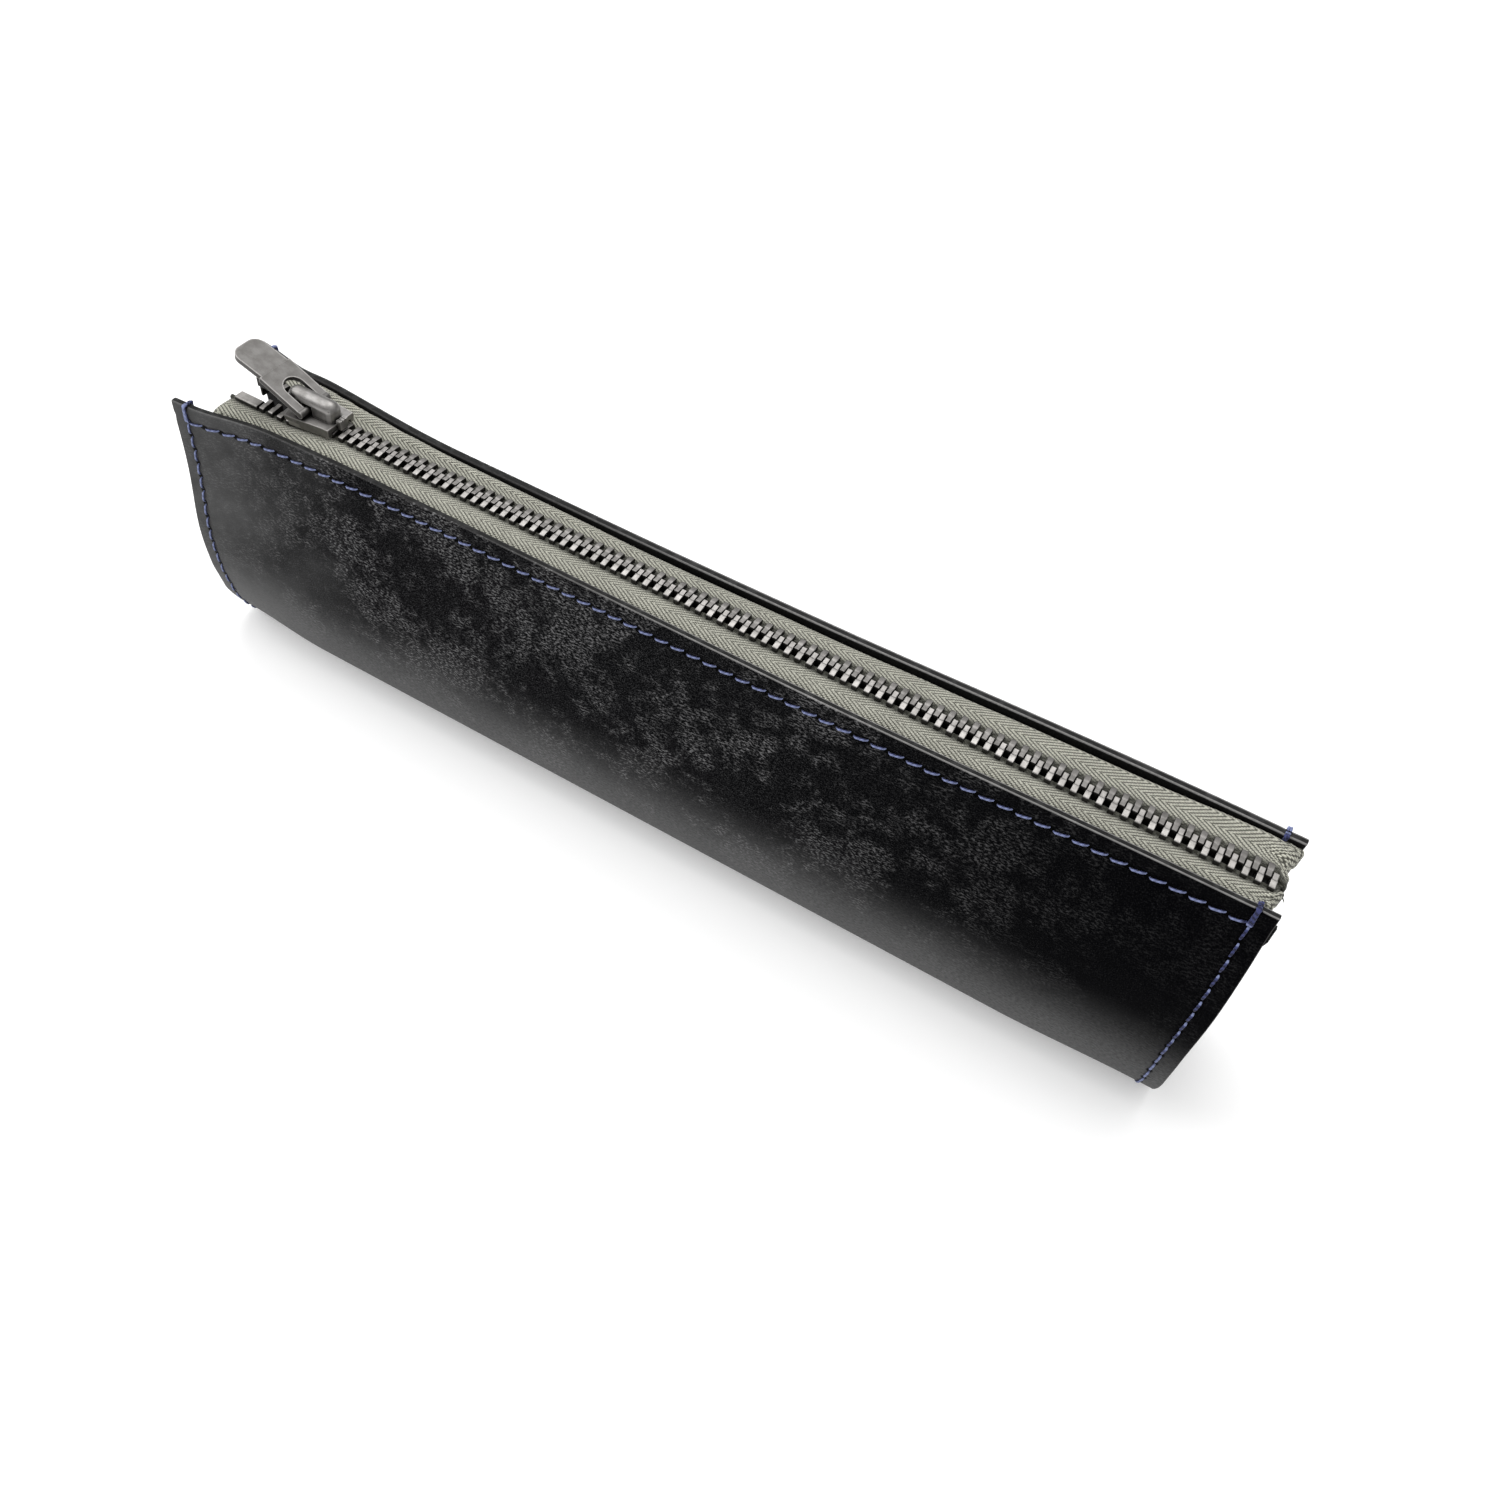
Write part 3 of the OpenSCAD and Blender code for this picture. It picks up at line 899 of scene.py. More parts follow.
        # Needle holes are painted near-black, standing in for the shade inside them.
        colour = sheet.mix(holes * 0.9, colour, grey(0.001))
        pebble = sheet.cells(sheet.stretch(place, (0.75, 1.25, 1.0)), self.pebble_scale)
        pores = sheet.noise(place, self.pore_scale, 2.0, 0.6)
        relief = pebble * 0.7 + pores * 0.35 + ripple * lower * 0.6 + flecks * 0.25 - holes * 1.5
        return sheet.finish(
            Base_Color=colour,
            Roughness=0.55 + pores * 0.16 - flecks * 0.05,
            Normal=sheet.bump(relief, self.relief),
            Specular_IOR_Level=self.specular,
        )


@dataclass(frozen=True)
class CutEdge:
    """Burnished edge of cut leather."""

    name: str = "burnished_edge"
    colour: Colour = grey(0.006)
    worn: Colour = grey(0.035)

    def build(self) -> bpy.types.Material:
        """Builds the finish.

        Returns:
            The material.
        """
        sheet = NodeSheet.of_material(self.name)
        place = sheet.solid_place()
        layers = sheet.noise(sheet.stretch(place, (0.15, 3.0, 3.0)), 1.0, 3.0)
        worn = sheet.noise(place, 0.5, 3.0).step(0.45, 0.7)
        return sheet.finish(
            Base_Color=sheet.mix(worn * 0.6 + layers * 0.2, self.colour, self.worn),
            Roughness=0.42 + layers * 0.2,
            Normal=sheet.bump(layers, 0.05),
            Specular_IOR_Level=0.12,
        )


@dataclass(frozen=True)
class FleshSide:
    """Sueded flesh side of leather, with a painted highlight along its top rim where brink_width is set."""

    name: str
    dark: Colour = grey(0.003)
    light: Colour = grey(0.012)
    # brink: painted highlight along the top rim, over a rim brink_width wide.
    brink: Colour = grey(0.26, 0.02)
    brink_width: float = 0.0

    def build(self) -> bpy.types.Material:
        """Builds the finish.

        Returns:
            The material.
        """
        sheet = NodeSheet.of_material(self.name)
        place = sheet.solid_place()
        fibre = sheet.noise(sheet.stretch(place, (1.0, 1.0, 2.0)), 2.4, 3.0, 0.65)
        cloud = sheet.noise(place, 0.12, 2.0)
        colour = sheet.mix((fibre * 0.7 + cloud * 0.3).step(0.35, 0.7), self.dark, self.light)
        if self.brink_width:
            _, along, across = sheet.surface_place()
            # Painted highlight along the top rim.
            rim = across.step(self.brink_width, self.brink_width / 4) * (fibre * 0.8 + 0.3)
            colour = sheet.mix(painted_rim_highlight(rim, along), colour, self.brink)
        return sheet.finish(
            Base_Color=colour,
            Roughness=0.85 + fibre * 0.1,
            Normal=sheet.bump(fibre, 0.12),
            Specular_IOR_Level=0.08,
        )


@dataclass(frozen=True)
class TwillTape:
    """Herringbone twill of the zip's tapes."""

    name: str = "twill_tape"
    light: Colour = (0.68, 0.675, 0.575, 1.0)
    shade: Colour = (0.034, 0.034, 0.027, 1.0)
    yarn: float = 0.215
    float_length: float = 1.15
    slope: float = 1.67
    band: float = 2.3
    band_start: float = 0.7
    # Painted shade on the tape's inner edge and its cord, beside the teeth.
    chain_shade_span: Span = (1.9, 0.5)

    def build(self) -> bpy.types.Material:
        """Builds the finish.

        Returns:
            The material.
        """
        sheet = NodeSheet.of_material(self.name)
        place, along, across = sheet.surface_place()
        sway = (sheet.noise(place, 0.35, 2.0) - 0.5) * 0.3
        over = across + sway
        number = (over / self.yarn).whole()
        fold = (number * self.yarn - self.band_start).zigzag(2 * self.band)
        floats = ((along + sway + fold * self.slope) / self.float_length).part()
        swell = (floats.zigzag(1.0) * 2).step(0.12, 0.7)
        round_yarn = (over / self.yarn).zigzag(1.0) * 2
        height = swell * (round_yarn * 0.75 + 0.25)
        soil = sheet.noise(place, 0.2, 3.0)
        grit = sheet.noise(place, 2.6, 2.0, 0.6).step(0.25, 0.7)
        # Painted shade beside the teeth, over the tape's inner edge and its cord.
        chain_shade = across.step(*self.chain_shade_span)
        lit = (height.step(0.05, 0.7) * (grit * 0.5 + 0.5) + soil * 0.16) * (1 - chain_shade * 0.9)
        return sheet.finish(
            Base_Color=sheet.mix(lit.least(1.0), self.shade, self.light),
            Roughness=0.78 + soil * 0.12,
            Normal=sheet.bump(height, 0.14),
            Specular_IOR_Level=0.15,
            Sheen_Weight=0.1,
        )


@dataclass(frozen=True)
class WaxedThread:
    """Blue two-ply sewing thread, with a painted highlight along its outward side."""

    name: str = "blue_thread"
    # light is the painted highlight, and shade is painted shade in the twist between the plies.
    light: Colour = (0.21, 0.245, 0.43, 1.0)
    middle: Colour = (0.036, 0.044, 0.14, 1.0)
    shade: Colour = (0.004, 0.005, 0.03, 1.0)
    # The front seam at the far end gets painted shade, and only the upper end of each stitch gets a painted
    # glint.
    shaded_seam_along: Span = (94.3, 95.3)
    shaded_seam_height: Span = (14.0, 24.0)
    shaded_seam_front: Span = (0.0, -2.0)
    glint_run: Span = (0.8, 0.6)

    def build(self) -> bpy.types.Material:
        """Builds the finish.

        Returns:
            The material.
        """
        sheet = NodeSheet.of_material(self.name)
        place, along, across = sheet.surface_place()
        strand = (along * 7 + across * 12).sine() * 0.5 + 0.5
        fuzz = sheet.noise(place, 4.0, 2.0)
        # Painted highlight along the thread's outward side.
        crown = (across + fuzz * 0.12).step(0.12, 0.2) * (along.step(0.1, 0.7) * 0.5 + 0.5)
        body = sheet.mix((strand * 0.5 + fuzz * 0.5).step(0.2, 0.7), self.shade, self.middle)
        case_x, case_y, height = sheet.split(sheet.solid_place())
        # Marks the far end's front stitches, which get painted shade and a painted glint.
        drawn = case_x.step(*self.shaded_seam_along) * height.step(*self.shaded_seam_height)
        far_seam_shade = drawn * case_y.step(*self.shaded_seam_front)
        glint = along.step(*self.glint_run)
        lit = crown * (strand * 0.4 + 0.6) * (1 - far_seam_shade) + far_seam_shade * glint
        return sheet.finish(
            Base_Color=sheet.mix(lit.least(1.0), body, self.light),
            Roughness=0.55 + fuzz * 0.2,
            Normal=sheet.bump(strand, 0.05),
            Specular_IOR_Level=0.3,
            Sheen_Weight=0.1,
        )


@dataclass(frozen=True)
class DarkNickel:
    """Antiqued nickel plate with painted shade in its hollows and on its sides, and worn bright where it is
    handled.
    """

    name: str
    plate: Colour
    tarnish: Colour
    roughness: float = 0.36
    brushed: float = 0.0
    # flank: share of painted shade on faces that do not face up.
    flank: float = 0.0
    wear: float = 0.0
    hollow_shade: Colour = grey(0.008, 0.04)
    wear_and_floor_sheen: Colour = grey(0.55, 0.03)
    painted_side_shade: Colour = grey(0.012, 0.04)
    hollow_shade_reach: float = 1.1
    rim_reach: float = 0.3

    def shelter(self, sheet: NodeSheet, reach: float, within: bool) -> Sock:
        """How open a place of the piece is to its surroundings.

        Args:
            sheet: The material's sheet.
            reach: Distance looked at, in millimetres.
            within: Looks into the piece, which finds its thin rims.

        Returns:
            1 where nothing is near.
        """
        settings = {"samples": 8, "inside": within, "only_local": within}
        return sheet.node("ShaderNodeAmbientOcclusion", settings, {"Distance": reach * MM}, "AO")

    def build(self) -> bpy.types.Material:
        """Builds the finish.

        Returns:
            The material.
        """
        sheet = NodeSheet.of_material(self.name)
        place = sheet.solid_place()
        cloud = sheet.noise(place, 0.55, 3.0, 0.6)
        lines = sheet.noise(sheet.stretch(place, (0.5, 6.0, 0.5)), 1.6, 2.0)
        specks = sheet.noise(place, 5.0, 2.0, 0.7).step(0.58, 0.72)
        dulled = (cloud.step(0.3, 0.75) * 0.55 + specks * 0.3 + lines * self.brushed).least(1.0)
        colour = sheet.mix(dulled, self.plate, self.tarnish)
        if self.wear:
            # Painted shade in the hollows.
            hollow = self.shelter(sheet, self.hollow_shade_reach, False).step(0.9, 0.4)
            rim = self.shelter(sheet, self.rim_reach, True).step(0.95, 0.55)
            colour = sheet.mix(hollow * 0.92, colour, self.hollow_shade)
            colour = sheet.mix(rim * self.wear * (cloud * 0.6 + 0.5), colour, self.wear_and_floor_sheen)
        # Painted shade on faces that do not face up.
        if self.flank:
            _, _, upwards = sheet.split(sheet.node("ShaderNodeTexCoord", output="Normal"))
            colour = sheet.mix(upwards.step(0.85, 0.4) * self.flank, colour, self.painted_side_shade)
        return sheet.finish(
            Base_Color=colour,
            Metallic=1.0,
            Roughness=self.roughness + cloud * 0.14 + lines * 0.08,
            Normal=sheet.bump(lines * 0.5 + cloud * 0.5, 0.02, 0.5),
        )


class Finishes:
    """The materials of the case, built once."""

    def __init__(self) -> None:
        """Builds every finish."""
        self.leather = GrainLeather().build()
        self.edge = CutEdge().build()
        self.flesh = FleshSide("sueded_flesh", brink_width=0.2).build()
        self.gusset = FleshSide("gusset_leather", grey(0.006), grey(0.025)).build()
        self.tape = TwillTape().build()
        self.thread = WaxedThread().build()
        front = DarkNickel("front_teeth_nickel", grey(0.36, 0.04), grey(0.14, 0.05), 0.36, 0.1, flank=0.85)
        back = DarkNickel("back_teeth_nickel", grey(0.24, 0.04), grey(0.08, 0.05), 0.4, 0.1, flank=0.85)
        slider = DarkNickel("slider_nickel", grey(0.3, 0.03), grey(0.13, 0.05), 0.32, 0.2, wear=0.7)
        tab = DarkNickel("tab_nickel", grey(0.15, 0.03), grey(0.09, 0.05), 0.38, 0.35, wear=0.5)
        spring = DarkNickel("spring_steel", grey(0.4, 0.02), grey(0.2, 0.03), 0.3)
        self.teeth = {Side.FRONT: front.build(), Side.BACK: back.build()}
        self.slider, self.tab, self.spring = slider.build(), tab.build(), spring.build()


# ---------------------------------------------------------------- leather


def ride_wall(piece: bpy.types.Object, side: Side) -> None:
    """Ties a piece to its wall.

    The back wall is fixed, and its pieces are attached to the case body. A piece of the front wall, which
    opens from the slider's end with the far end held shut, only has its placing baked into its mesh.

    Args:
        piece: The piece.
        side: The wall that carries it.
    """
    if side is Side.BACK:
        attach(piece, "case_body")
    else:
        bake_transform(piece)


@dataclass
class LeatherBody:
    """The U of body leather, in two pieces that meet along the front fold."""

    finishes: Finishes
    # Steps of the grids, and the rounding of the cut edges.
    step_x: float = 0.9
    step_run: float = 0.8
    seam_step: float = 0.3
    edge_radius: float = 0.4
    # Dents along the seams, and the slow waves of handling.
    pucker: float = 0.14
    pucker_reach: float = 0.7
    wave: float = 0.12
    # Thin strip of the front wall that runs down inside the base leather.
    tongue: float = 1.2
    tongue_rows: Point = (0.002, 0.5, 1.0)
    tongue_half: float = 0.4
    tongue_inset: float = 0.2

    def runs(self, low: float, high: float, rounded_low: bool, rounded_high: bool) -> np.ndarray:
        """Distances down a wall, closer together at rounded edges and at the seam near the edge.

        Args:
            low: First distance.
            high: Last distance.
            rounded_low: Whether the first is a cut edge.
            rounded_high: Whether the last is a cut edge.

        Returns:
            Rising distances.
        """
        seam, fine = 2 * SEWING.inset, self.seam_step
        ease = self.edge_radius * (1 - np.cos(np.linspace(0, math.pi / 2, 6)))
        parts = [[low]]
        if rounded_low:
            parts = [low + ease, np.arange(low + self.edge_radius + fine, low + seam, fine)]
        start = low + seam if rounded_low else low + self.step_run
        stop = high - seam if rounded_high else high - self.step_run
        parts.append(np.arange(start, stop, self.step_run))
        if rounded_high:
            parts += [np.arange(high - seam, high - self.edge_radius, fine), (high - ease)[::-1]]
        else:
            parts.append([high])
        return np.concatenate(parts)

    def dented(self, x: np.ndarray, run: np.ndarray) -> np.ndarray:
        """How far stitches and handling push the outer face in or out.

        Args:
            x: Places along the case.
            run: Distances from the nearest top edge.

        Returns:
            Offsets outwards.
        """
        phase = np.cos(2 * np.pi * (x - SEWING.first_hole) / SEWING.pitch)
        line = np.exp(-(((run - SEWING.inset) / self.pucker_reach) ** 2))
        end_line = np.exp(-(((CASE.x_right - SEWING.inset - np.abs(x)) / self.pucker_reach) ** 2))
        soft = np.sin(x * 0.11 + 1.3) * np.sin(run * 0.16 + x * 0.03) + 0.6 * np.sin(x * 0.23 + run * 0.11)
        fade = smooth(0, 6, run) * smooth(44, 36, run)
        return -self.pucker * (line * (0.7 + 0.3 * phase) + 0.8 * end_line) + self.wave * soft * fade

    def sheet(self, name: str, outer: np.ndarray, across: np.ndarray, half: np.ndarray) -> bpy.types.Object:
        """Builds a piece of leather from its outer face.

        Args:
            name: The piece's name.
            outer: Grid of points of the outer face.
            across: Distance of each from the nearest top edge, for the finish.
            half: Half thickness at each.

        Returns:
            The piece.
        """
        inwards = np.cross(np.gradient(outer, axis=0), np.gradient(outer, axis=1))
        inwards /= np.linalg.norm(inwards, axis=2, keepdims=True)
        middle = outer + inwards * CASE.leather / 2
        mesher = Mesher()
        place = np.stack([outer[..., 0], across], -1)
        mesher.add_sheet(middle[:, ::-1], place[:, ::-1], half[:, ::-1], (0, 1, 2))
        finishes = self.finishes
        made = mesher.build(name, [finishes.leather, finishes.flesh, finishes.edge], 60)
        return made

    def stations(self) -> np.ndarray:
        """Places along the case where the grids have a row of points."""
        return spaced(CASE.x_left, CASE.x_right, self.step_x, self.edge_radius)

    def thickness(self, x: np.ndarray, from_edge: np.ndarray) -> np.ndarray:
        """Half thickness of a grid, less at its rounded cut edges.

        Args:
            x: X of the grid.
            from_edge: Distance of each point from the nearest top edge.

        Returns:
            Half thickness at each point.
        """
        half = CASE.leather / 2
        from_end = np.minimum(x - CASE.x_left, CASE.x_right - x)
        at_end = rounded(from_end, self.edge_radius, half)
        return np.minimum(at_end, rounded(from_edge, self.edge_radius, half))

    def build_front(self) -> None:
        """Builds the front wall, with a thin tongue that stays in the base leather when it opens."""
        wall = CASE.wall_run
        tongue = wall + np.array(self.tongue_rows) * self.tongue
        run = np.concatenate([self.runs(0, wall, True, False), tongue])
        x, r = np.meshgrid(self.stations(), run, indexing="ij")
        y, z = CASE.wall(x, r, Side.FRONT)
        y = y - self.dented(x, r)
        half = self.thickness(x, r)
        half = np.where(r > wall, np.minimum(half, self.tongue_half), half)
        x = np.where(r > wall, x * (1 - self.tongue_inset / CASE.x_right), x)
        front = self.sheet("front_leather", np.stack([x, y, z], -1), r, half)
        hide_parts("front_panel")
        ride_wall(front, Side.FRONT)

    def build_back(self) -> None:
        """Builds the base and the back wall."""
        wall, base = CASE.wall_run, 2 * CASE.corner_run + 2 * CASE.half_flat
        run = np.concatenate([spaced(0, base, self.step_run)[:-1], base + self.runs(0, wall, False, True)])
        x, r = np.meshgrid(self.stations(), run, indexing="ij")
        up = np.clip(r - base, 0, None)
        wall_y, wall_z = CASE.wall(x, wall - up, Side.BACK)
        base_y, base_z = CASE.base(x, r)
        y = np.where(r > base, wall_y + self.dented(x, wall - up), base_y)
        z = np.where(r > base, wall_z, base_z)
        across = np.minimum(wall + r, wall + base - r)
        half = self.thickness(x, base + wall - r)
        back = self.sheet("back_leather", np.stack([x, y, z], -1), across, half)
        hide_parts("back_panel")
        ride_wall(back, Side.BACK)

    def build(self) -> None:
        """Builds both pieces."""
        self.build_front()
        self.build_back()


@dataclass
class Gussets:
    """Leather folded inwards at both ends."""

    finishes: Finishes
    # The leather, and how it folds inwards from the margins sewn to the walls.
    thickness: float = 1.0
    width: float = 40.0
    depth: float = 14.0
    margin: float = 5.0
    bend: float = 2.6
    # Its height, the dip of its top at the fold, the ears at the walls and one corner that strays out.
    lowest: float = 3.5
    top: float = 44.0
    dip: float = 6.0
    ear: float = 8.0
    far_ear: float = 6.5
    stray: float = 1.0
    # Gaps to the walls and to the end, and a blend span.
    gap: float = 0.3
    end_gap: float = 0.4
    blend_span: float = 17.0
    rows: int = 26
    columns: int = 52

    def plan(self) -> np.ndarray:
        """Draws a gusset as seen from above.

        Returns:
            Points of distance in from the end, and share of the way from the middle plane to a wall.
        """
        shoulder = self.margin + self.bend
        outline = [
            (0, -1), (self.margin * 0.5, -1), (self.margin, -1), (shoulder, -0.78), (self.depth, 0),
            (shoulder, 0.78), (self.margin, 1), (self.margin * 0.5, 1), (0, 1),
        ]
        return curve_through(outline, self.columns)

    def build_end(self, end: End) -> None:
        """Builds one gusset.

        Args:
            end: The end that it closes.
        """
        lines = self.plan()
        inwards, share = lines[:, 0], np.clip(lines[:, 1], -1, 1)
        x = end.value * (CASE.x_right - self.end_gap - inwards)
        ear = self.ear if end is End.SLIDER else self.far_ear
        inset = self.gap + self.thickness / 2
        rows = []
        for low in np.linspace(self.lowest, self.top, self.rows):
            rise = ((low - self.lowest) / (self.top - self.lowest)) ** 3
            z = low - self.dip * rise * (1 - np.abs(share))
            z = z + ear * rise * smooth(self.margin + 1.5, self.margin - 1.0, inwards)
            front = CASE.inside(x, z, Side.FRONT) - inset
            back = CASE.inside(x, z, Side.BACK) - inset
            out = x
            if end is End.FAR:
                peep = smooth(46.5, 48.5, z) * smooth(2.5, 0, inwards) * smooth(-0.8, -1, share)
                out = x + self.stray * peep
            rows.append(np.stack([out, share * np.where(share < 0, front, back), z], -1))
        middle = np.array(rows)
        if end is End.FAR:
            middle = middle[:, ::-1]
        across = np.broadcast_to(np.linspace(0, self.width, middle.shape[1]), middle.shape[:2])
        half = np.full(middle.shape[:2], self.thickness / 2)
        mesher = Mesher()
        mesher.add_sheet(middle, np.stack([middle[..., 2], across], -1), half, (0, 0, 1))
        name = "slider_end_gusset" if end is End.SLIDER else "far_end_gusset"
        made = mesher.build(name, [self.finishes.gusset, self.finishes.edge])
        if end is End.SLIDER:
            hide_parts("left_gusset")
            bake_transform(made)
        else:
            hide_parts("right_gusset")
            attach(made, "case_body")

    def build(self) -> None:
        """Builds both gussets."""
        self.build_end(End.SLIDER)
        self.build_end(End.FAR)


# ---------------------------------------------------------------- zip


@dataclass
class ZipChain:
    """Tapes and teeth of both rows, which the slider parts at its end of the case."""

    finishes: Finishes
    # Rows of teeth, and the slider that spreads them.
    middle_z: float = 53.0
    pitch: float = 2.0
    half_chain: float = 2.25
    last_tooth: float = 96.5
    spread: float = 1.75
    slider_rear: float = -71.0
    slider_front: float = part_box("slider_body")[0].x / MM
    # One tooth.
    head_tip: float = 0.62
    head_width: float = 0.84
    leg_width: float = 1.0
    lean: float = 0.13
    # Tape, with a cord along its inner edge.
    tape_thickness: float = 0.45
    tape_width: float = 14.5
    tape_start: float = -93.0
    tape_end: float = 98.4
    front_short: float = 0.7
    back_lift: float = 0.9
    hang: float = 8.0
    gap: float = 0.3
    bead_radius: float = 0.42
    bead_y: float = 1.55
    bead_z: float = 52.75
    # The tape's cut ends, folded down, frayed and bunched up.
    fold: float = 1.1
    hem: float = 2.6
    fray_radius: float = 0.12
    pleat: float = 0.42
    fine_pleat: float = 0.2
    sway: float = 0.5
    fine_sway: float = 0.3

    def shift(self, x: np.ndarray) -> np.ndarray:
        """How far a row stands aside of its closed place."""
        return self.spread * smooth(self.slider_rear, self.slider_front, x)

    def tooth(self) -> bpy.types.Mesh:
        """Makes one tooth of the back row.

        Returns:
            The tooth in millimetres, with its origin midway between the rows.
        """
        head, leg = self.head_width / 2, self.leg_width / 2
        # Sections from the head's tip to the legs' ends: distance, half width and half height.
        stations = [
            (-self.head_tip, head * 0.8, 0.62), (-self.head_tip + 0.05, head * 0.94, 0.86),
            (-self.head_tip + 0.13, head, 0.97), (-self.head_tip + 0.25, head, 0.99),
            (0.58, head, 1.0), (0.72, leg * 0.95, 1.03), (0.84, leg, 1.1), (0.98, leg, 1.13),
            (1.3, leg, 1.14), (1.95, leg, 1.14), (2.08, leg, 1.12), (2.18, leg * 0.96, 1.02),
            (self.half_chain, leg * 0.86, 0.8),
        ]
        mesher = Mesher()
        # A section's outline in shares of its half width and half height, with rounded corners.
        quarter = [(1, 0.72), (1, 0.86), (0.965, 0.955), (0.87, 1), (0.72, 1)]
        half = quarter + [(-u, w) for u, w in quarter[::-1]]
        corner = np.array(half + [(u, -w) for u, w in half[::-1]])
        rings = np.array([
            [(wide * u, y, high * w - self.lean * y) for u, w in corner] for y, wide, high in stations
        ])
        count = len(corner)
        first = mesher.add_points(rings, np.zeros((*rings.shape[:2], 2)))
        number = first + np.arange(rings.shape[0] * count).reshape(rings.shape[0], count)
        after = np.roll(number, -1, axis=1)
        mesher.add_quads(np.stack([number[:-1], number[1:], after[1:], after[:-1]], -1), 0)
        mesher.add_caps(number[0], number[-1, ::-1])
        mesh = bpy.data.meshes.new("tooth_form")
        mesh.from_pydata(np.concatenate(mesher.points).tolist(), [], mesher.faces)
        return mesh

    def tooth_places(self, side: Side) -> list[Point]:
        """Where the teeth of a row stand.

        Args:
            side: The row.

        Returns:
            The places, from the far end to the slider's end.
        """
        offset = self.pitch / 2 if side is Side.BACK else 0
        stop = self.slider_front - 2.5 * self.pitch - offset
        xs = np.arange(self.last_tooth - offset, stop - 0.01, -self.pitch)
        return [(float(x), side.value * float(self.shift(x)), self.middle_z) for x in xs]

    def build_teeth(self, side: Side) -> None:
        """Builds one row of teeth.

        Args:
            side: The row.
        """
        mesher = Mesher()
        mesher.add_mesh(self.tooth(), self.tooth_places(side), side.value)
        name = f"{side.name.lower()}_tooth_row"
        row = mesher.build(name, [self.finishes.teeth[side]], 50)
        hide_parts(f"{side.name.lower()}_teeth")
        ride_wall(row, side)

    def inner_wall(self, x: float, z: float, side: Side) -> float:
        """Inner face of a wall, as a distance from the middle plane."""
        return float(CASE.inside(np.array([x]), np.array([z]), side)[0])

    def section(self, x: float, side: Side) -> np.ndarray:
        """Middle line of the tape's ribbon across the case.

        Args:
            x: Place along the case.
            side: The row.

        Returns:
            Points of distance from the middle plane and height.
        """
        inset = self.gap + self.tape_thickness / 2
        near = self.bead_y + float(self.shift(x))
        raised = smooth(72, 98, x) + smooth(0, -60, x) if side is Side.BACK else 0.0
        lift = self.back_lift * float(raised)
        turn = self.middle_z - 1.5 + lift
        low = self.middle_z - self.hang
        wall = self.inner_wall(x, turn, side) - inset
        foot = self.inner_wall(x, low, side) - inset
        between = (near + wall) / 2
        sag = 0.18 + 0.12 * math.sin(x * 0.19 + side.value)
        shoulder = self.middle_z - 0.1 - sag * 0.4 + lift * 0.6
        path = [
            (near, self.bead_z), (between, self.middle_z - sag * 0.6), (wall - 1.2, shoulder),
            (wall - 0.38, self.middle_z - 0.55 + lift * 0.9), (wall, turn), (foot, low),
        ]
        return curve_through(path, 34)

    def add_frays(
        self, mesher: Mesher, brink: np.ndarray, before: np.ndarray, count: int, longest: float
    ) -> None:
        """Adds loose yarn ends along a cut end of the tape.

        Args:
            mesher: The tape's mesh.
            brink: Points along the cut end.
            before: Points just inside it.
            count: Number of yarns, which also picks their random draws.
            longest: Length of the longest yarn.
        """
        chance = np.random.default_rng(count)
        for _ in range(count):
            at = chance.uniform(0, len(brink) * 0.72)
            k = int(at)
            start = brink[k] + (brink[k + 1] - brink[k]) * (at - k)
            run = start - before[k]
            run /= np.linalg.norm(run)
            length = longest * chance.uniform(0.3, 1.0)
            stray = chance.normal(0, 0.28, 3) * np.array([0.3, 1.0, 0.7])
            t = np.linspace(0, 1, 6)[:, None]
            path = start - run * 0.3 + (run + stray * t) * t * length
            mesher.add_tube(path, self.fray_radius * (1 - 0.3 * t[:, 0]), 6, across=float(at))

    def over_end(self, line: np.ndarray, end: End) -> tuple[np.ndarray, np.ndarray]:
        """Folds the tape down over its cut end.

        Args:
            line: The last line across the tape.
            end: The end of the case.

        Returns:
            Lines that follow it, and their distances along the tape from it.
        """
        bend = np.linspace(0, math.pi / 2, 6)[1:]
        hem = np.linspace(0.6, self.hem, 4)
        drop = np.concatenate([self.fold * (1 - np.cos(bend)), self.fold + hem])
        reach = np.concatenate([self.fold * np.sin(bend), np.full(len(hem), self.fold)])
        shift = np.stack([end.value * reach, np.zeros(len(drop)), -drop], -1)
        run = np.cumsum(np.hypot(np.diff(reach, prepend=0), np.diff(drop, prepend=0)))
        return line[None] + shift[:, None], run

    def crumpled(self, middle: np.ndarray, side: Side) -> np.ndarray:
        """Bunches the tape up where it is sewn in at the far end.

        Args:
            middle: Grid of points midway through the tape, from its bead to its hem.
            side: The row.

        Returns:
            The grid, with folds near the far end.
        """
        share = np.linspace(0, 1, middle.shape[1])[None]
        x = middle[..., 0]
        grip = smooth(92.5, 98.0, x) * smooth(0.0, 0.1, share) * smooth(1.0, 0.55, share)
        turn = share * 26 + side.value * 1.1
        lift = self.pleat * np.sin(turn) + self.fine_pleat * np.sin(2.3 * turn + x * 1.4)
        push = self.sway * np.sin(0.6 * turn + 0.8) + self.fine_sway * np.sin(1.7 * turn)
        drawn = -side.value * (self.bead_y - 0.12) * smooth(96.6, 97.6, x) * smooth(0.3, 0.0, share)
        return middle + np.stack([push * grip, drawn, lift * grip], -1)

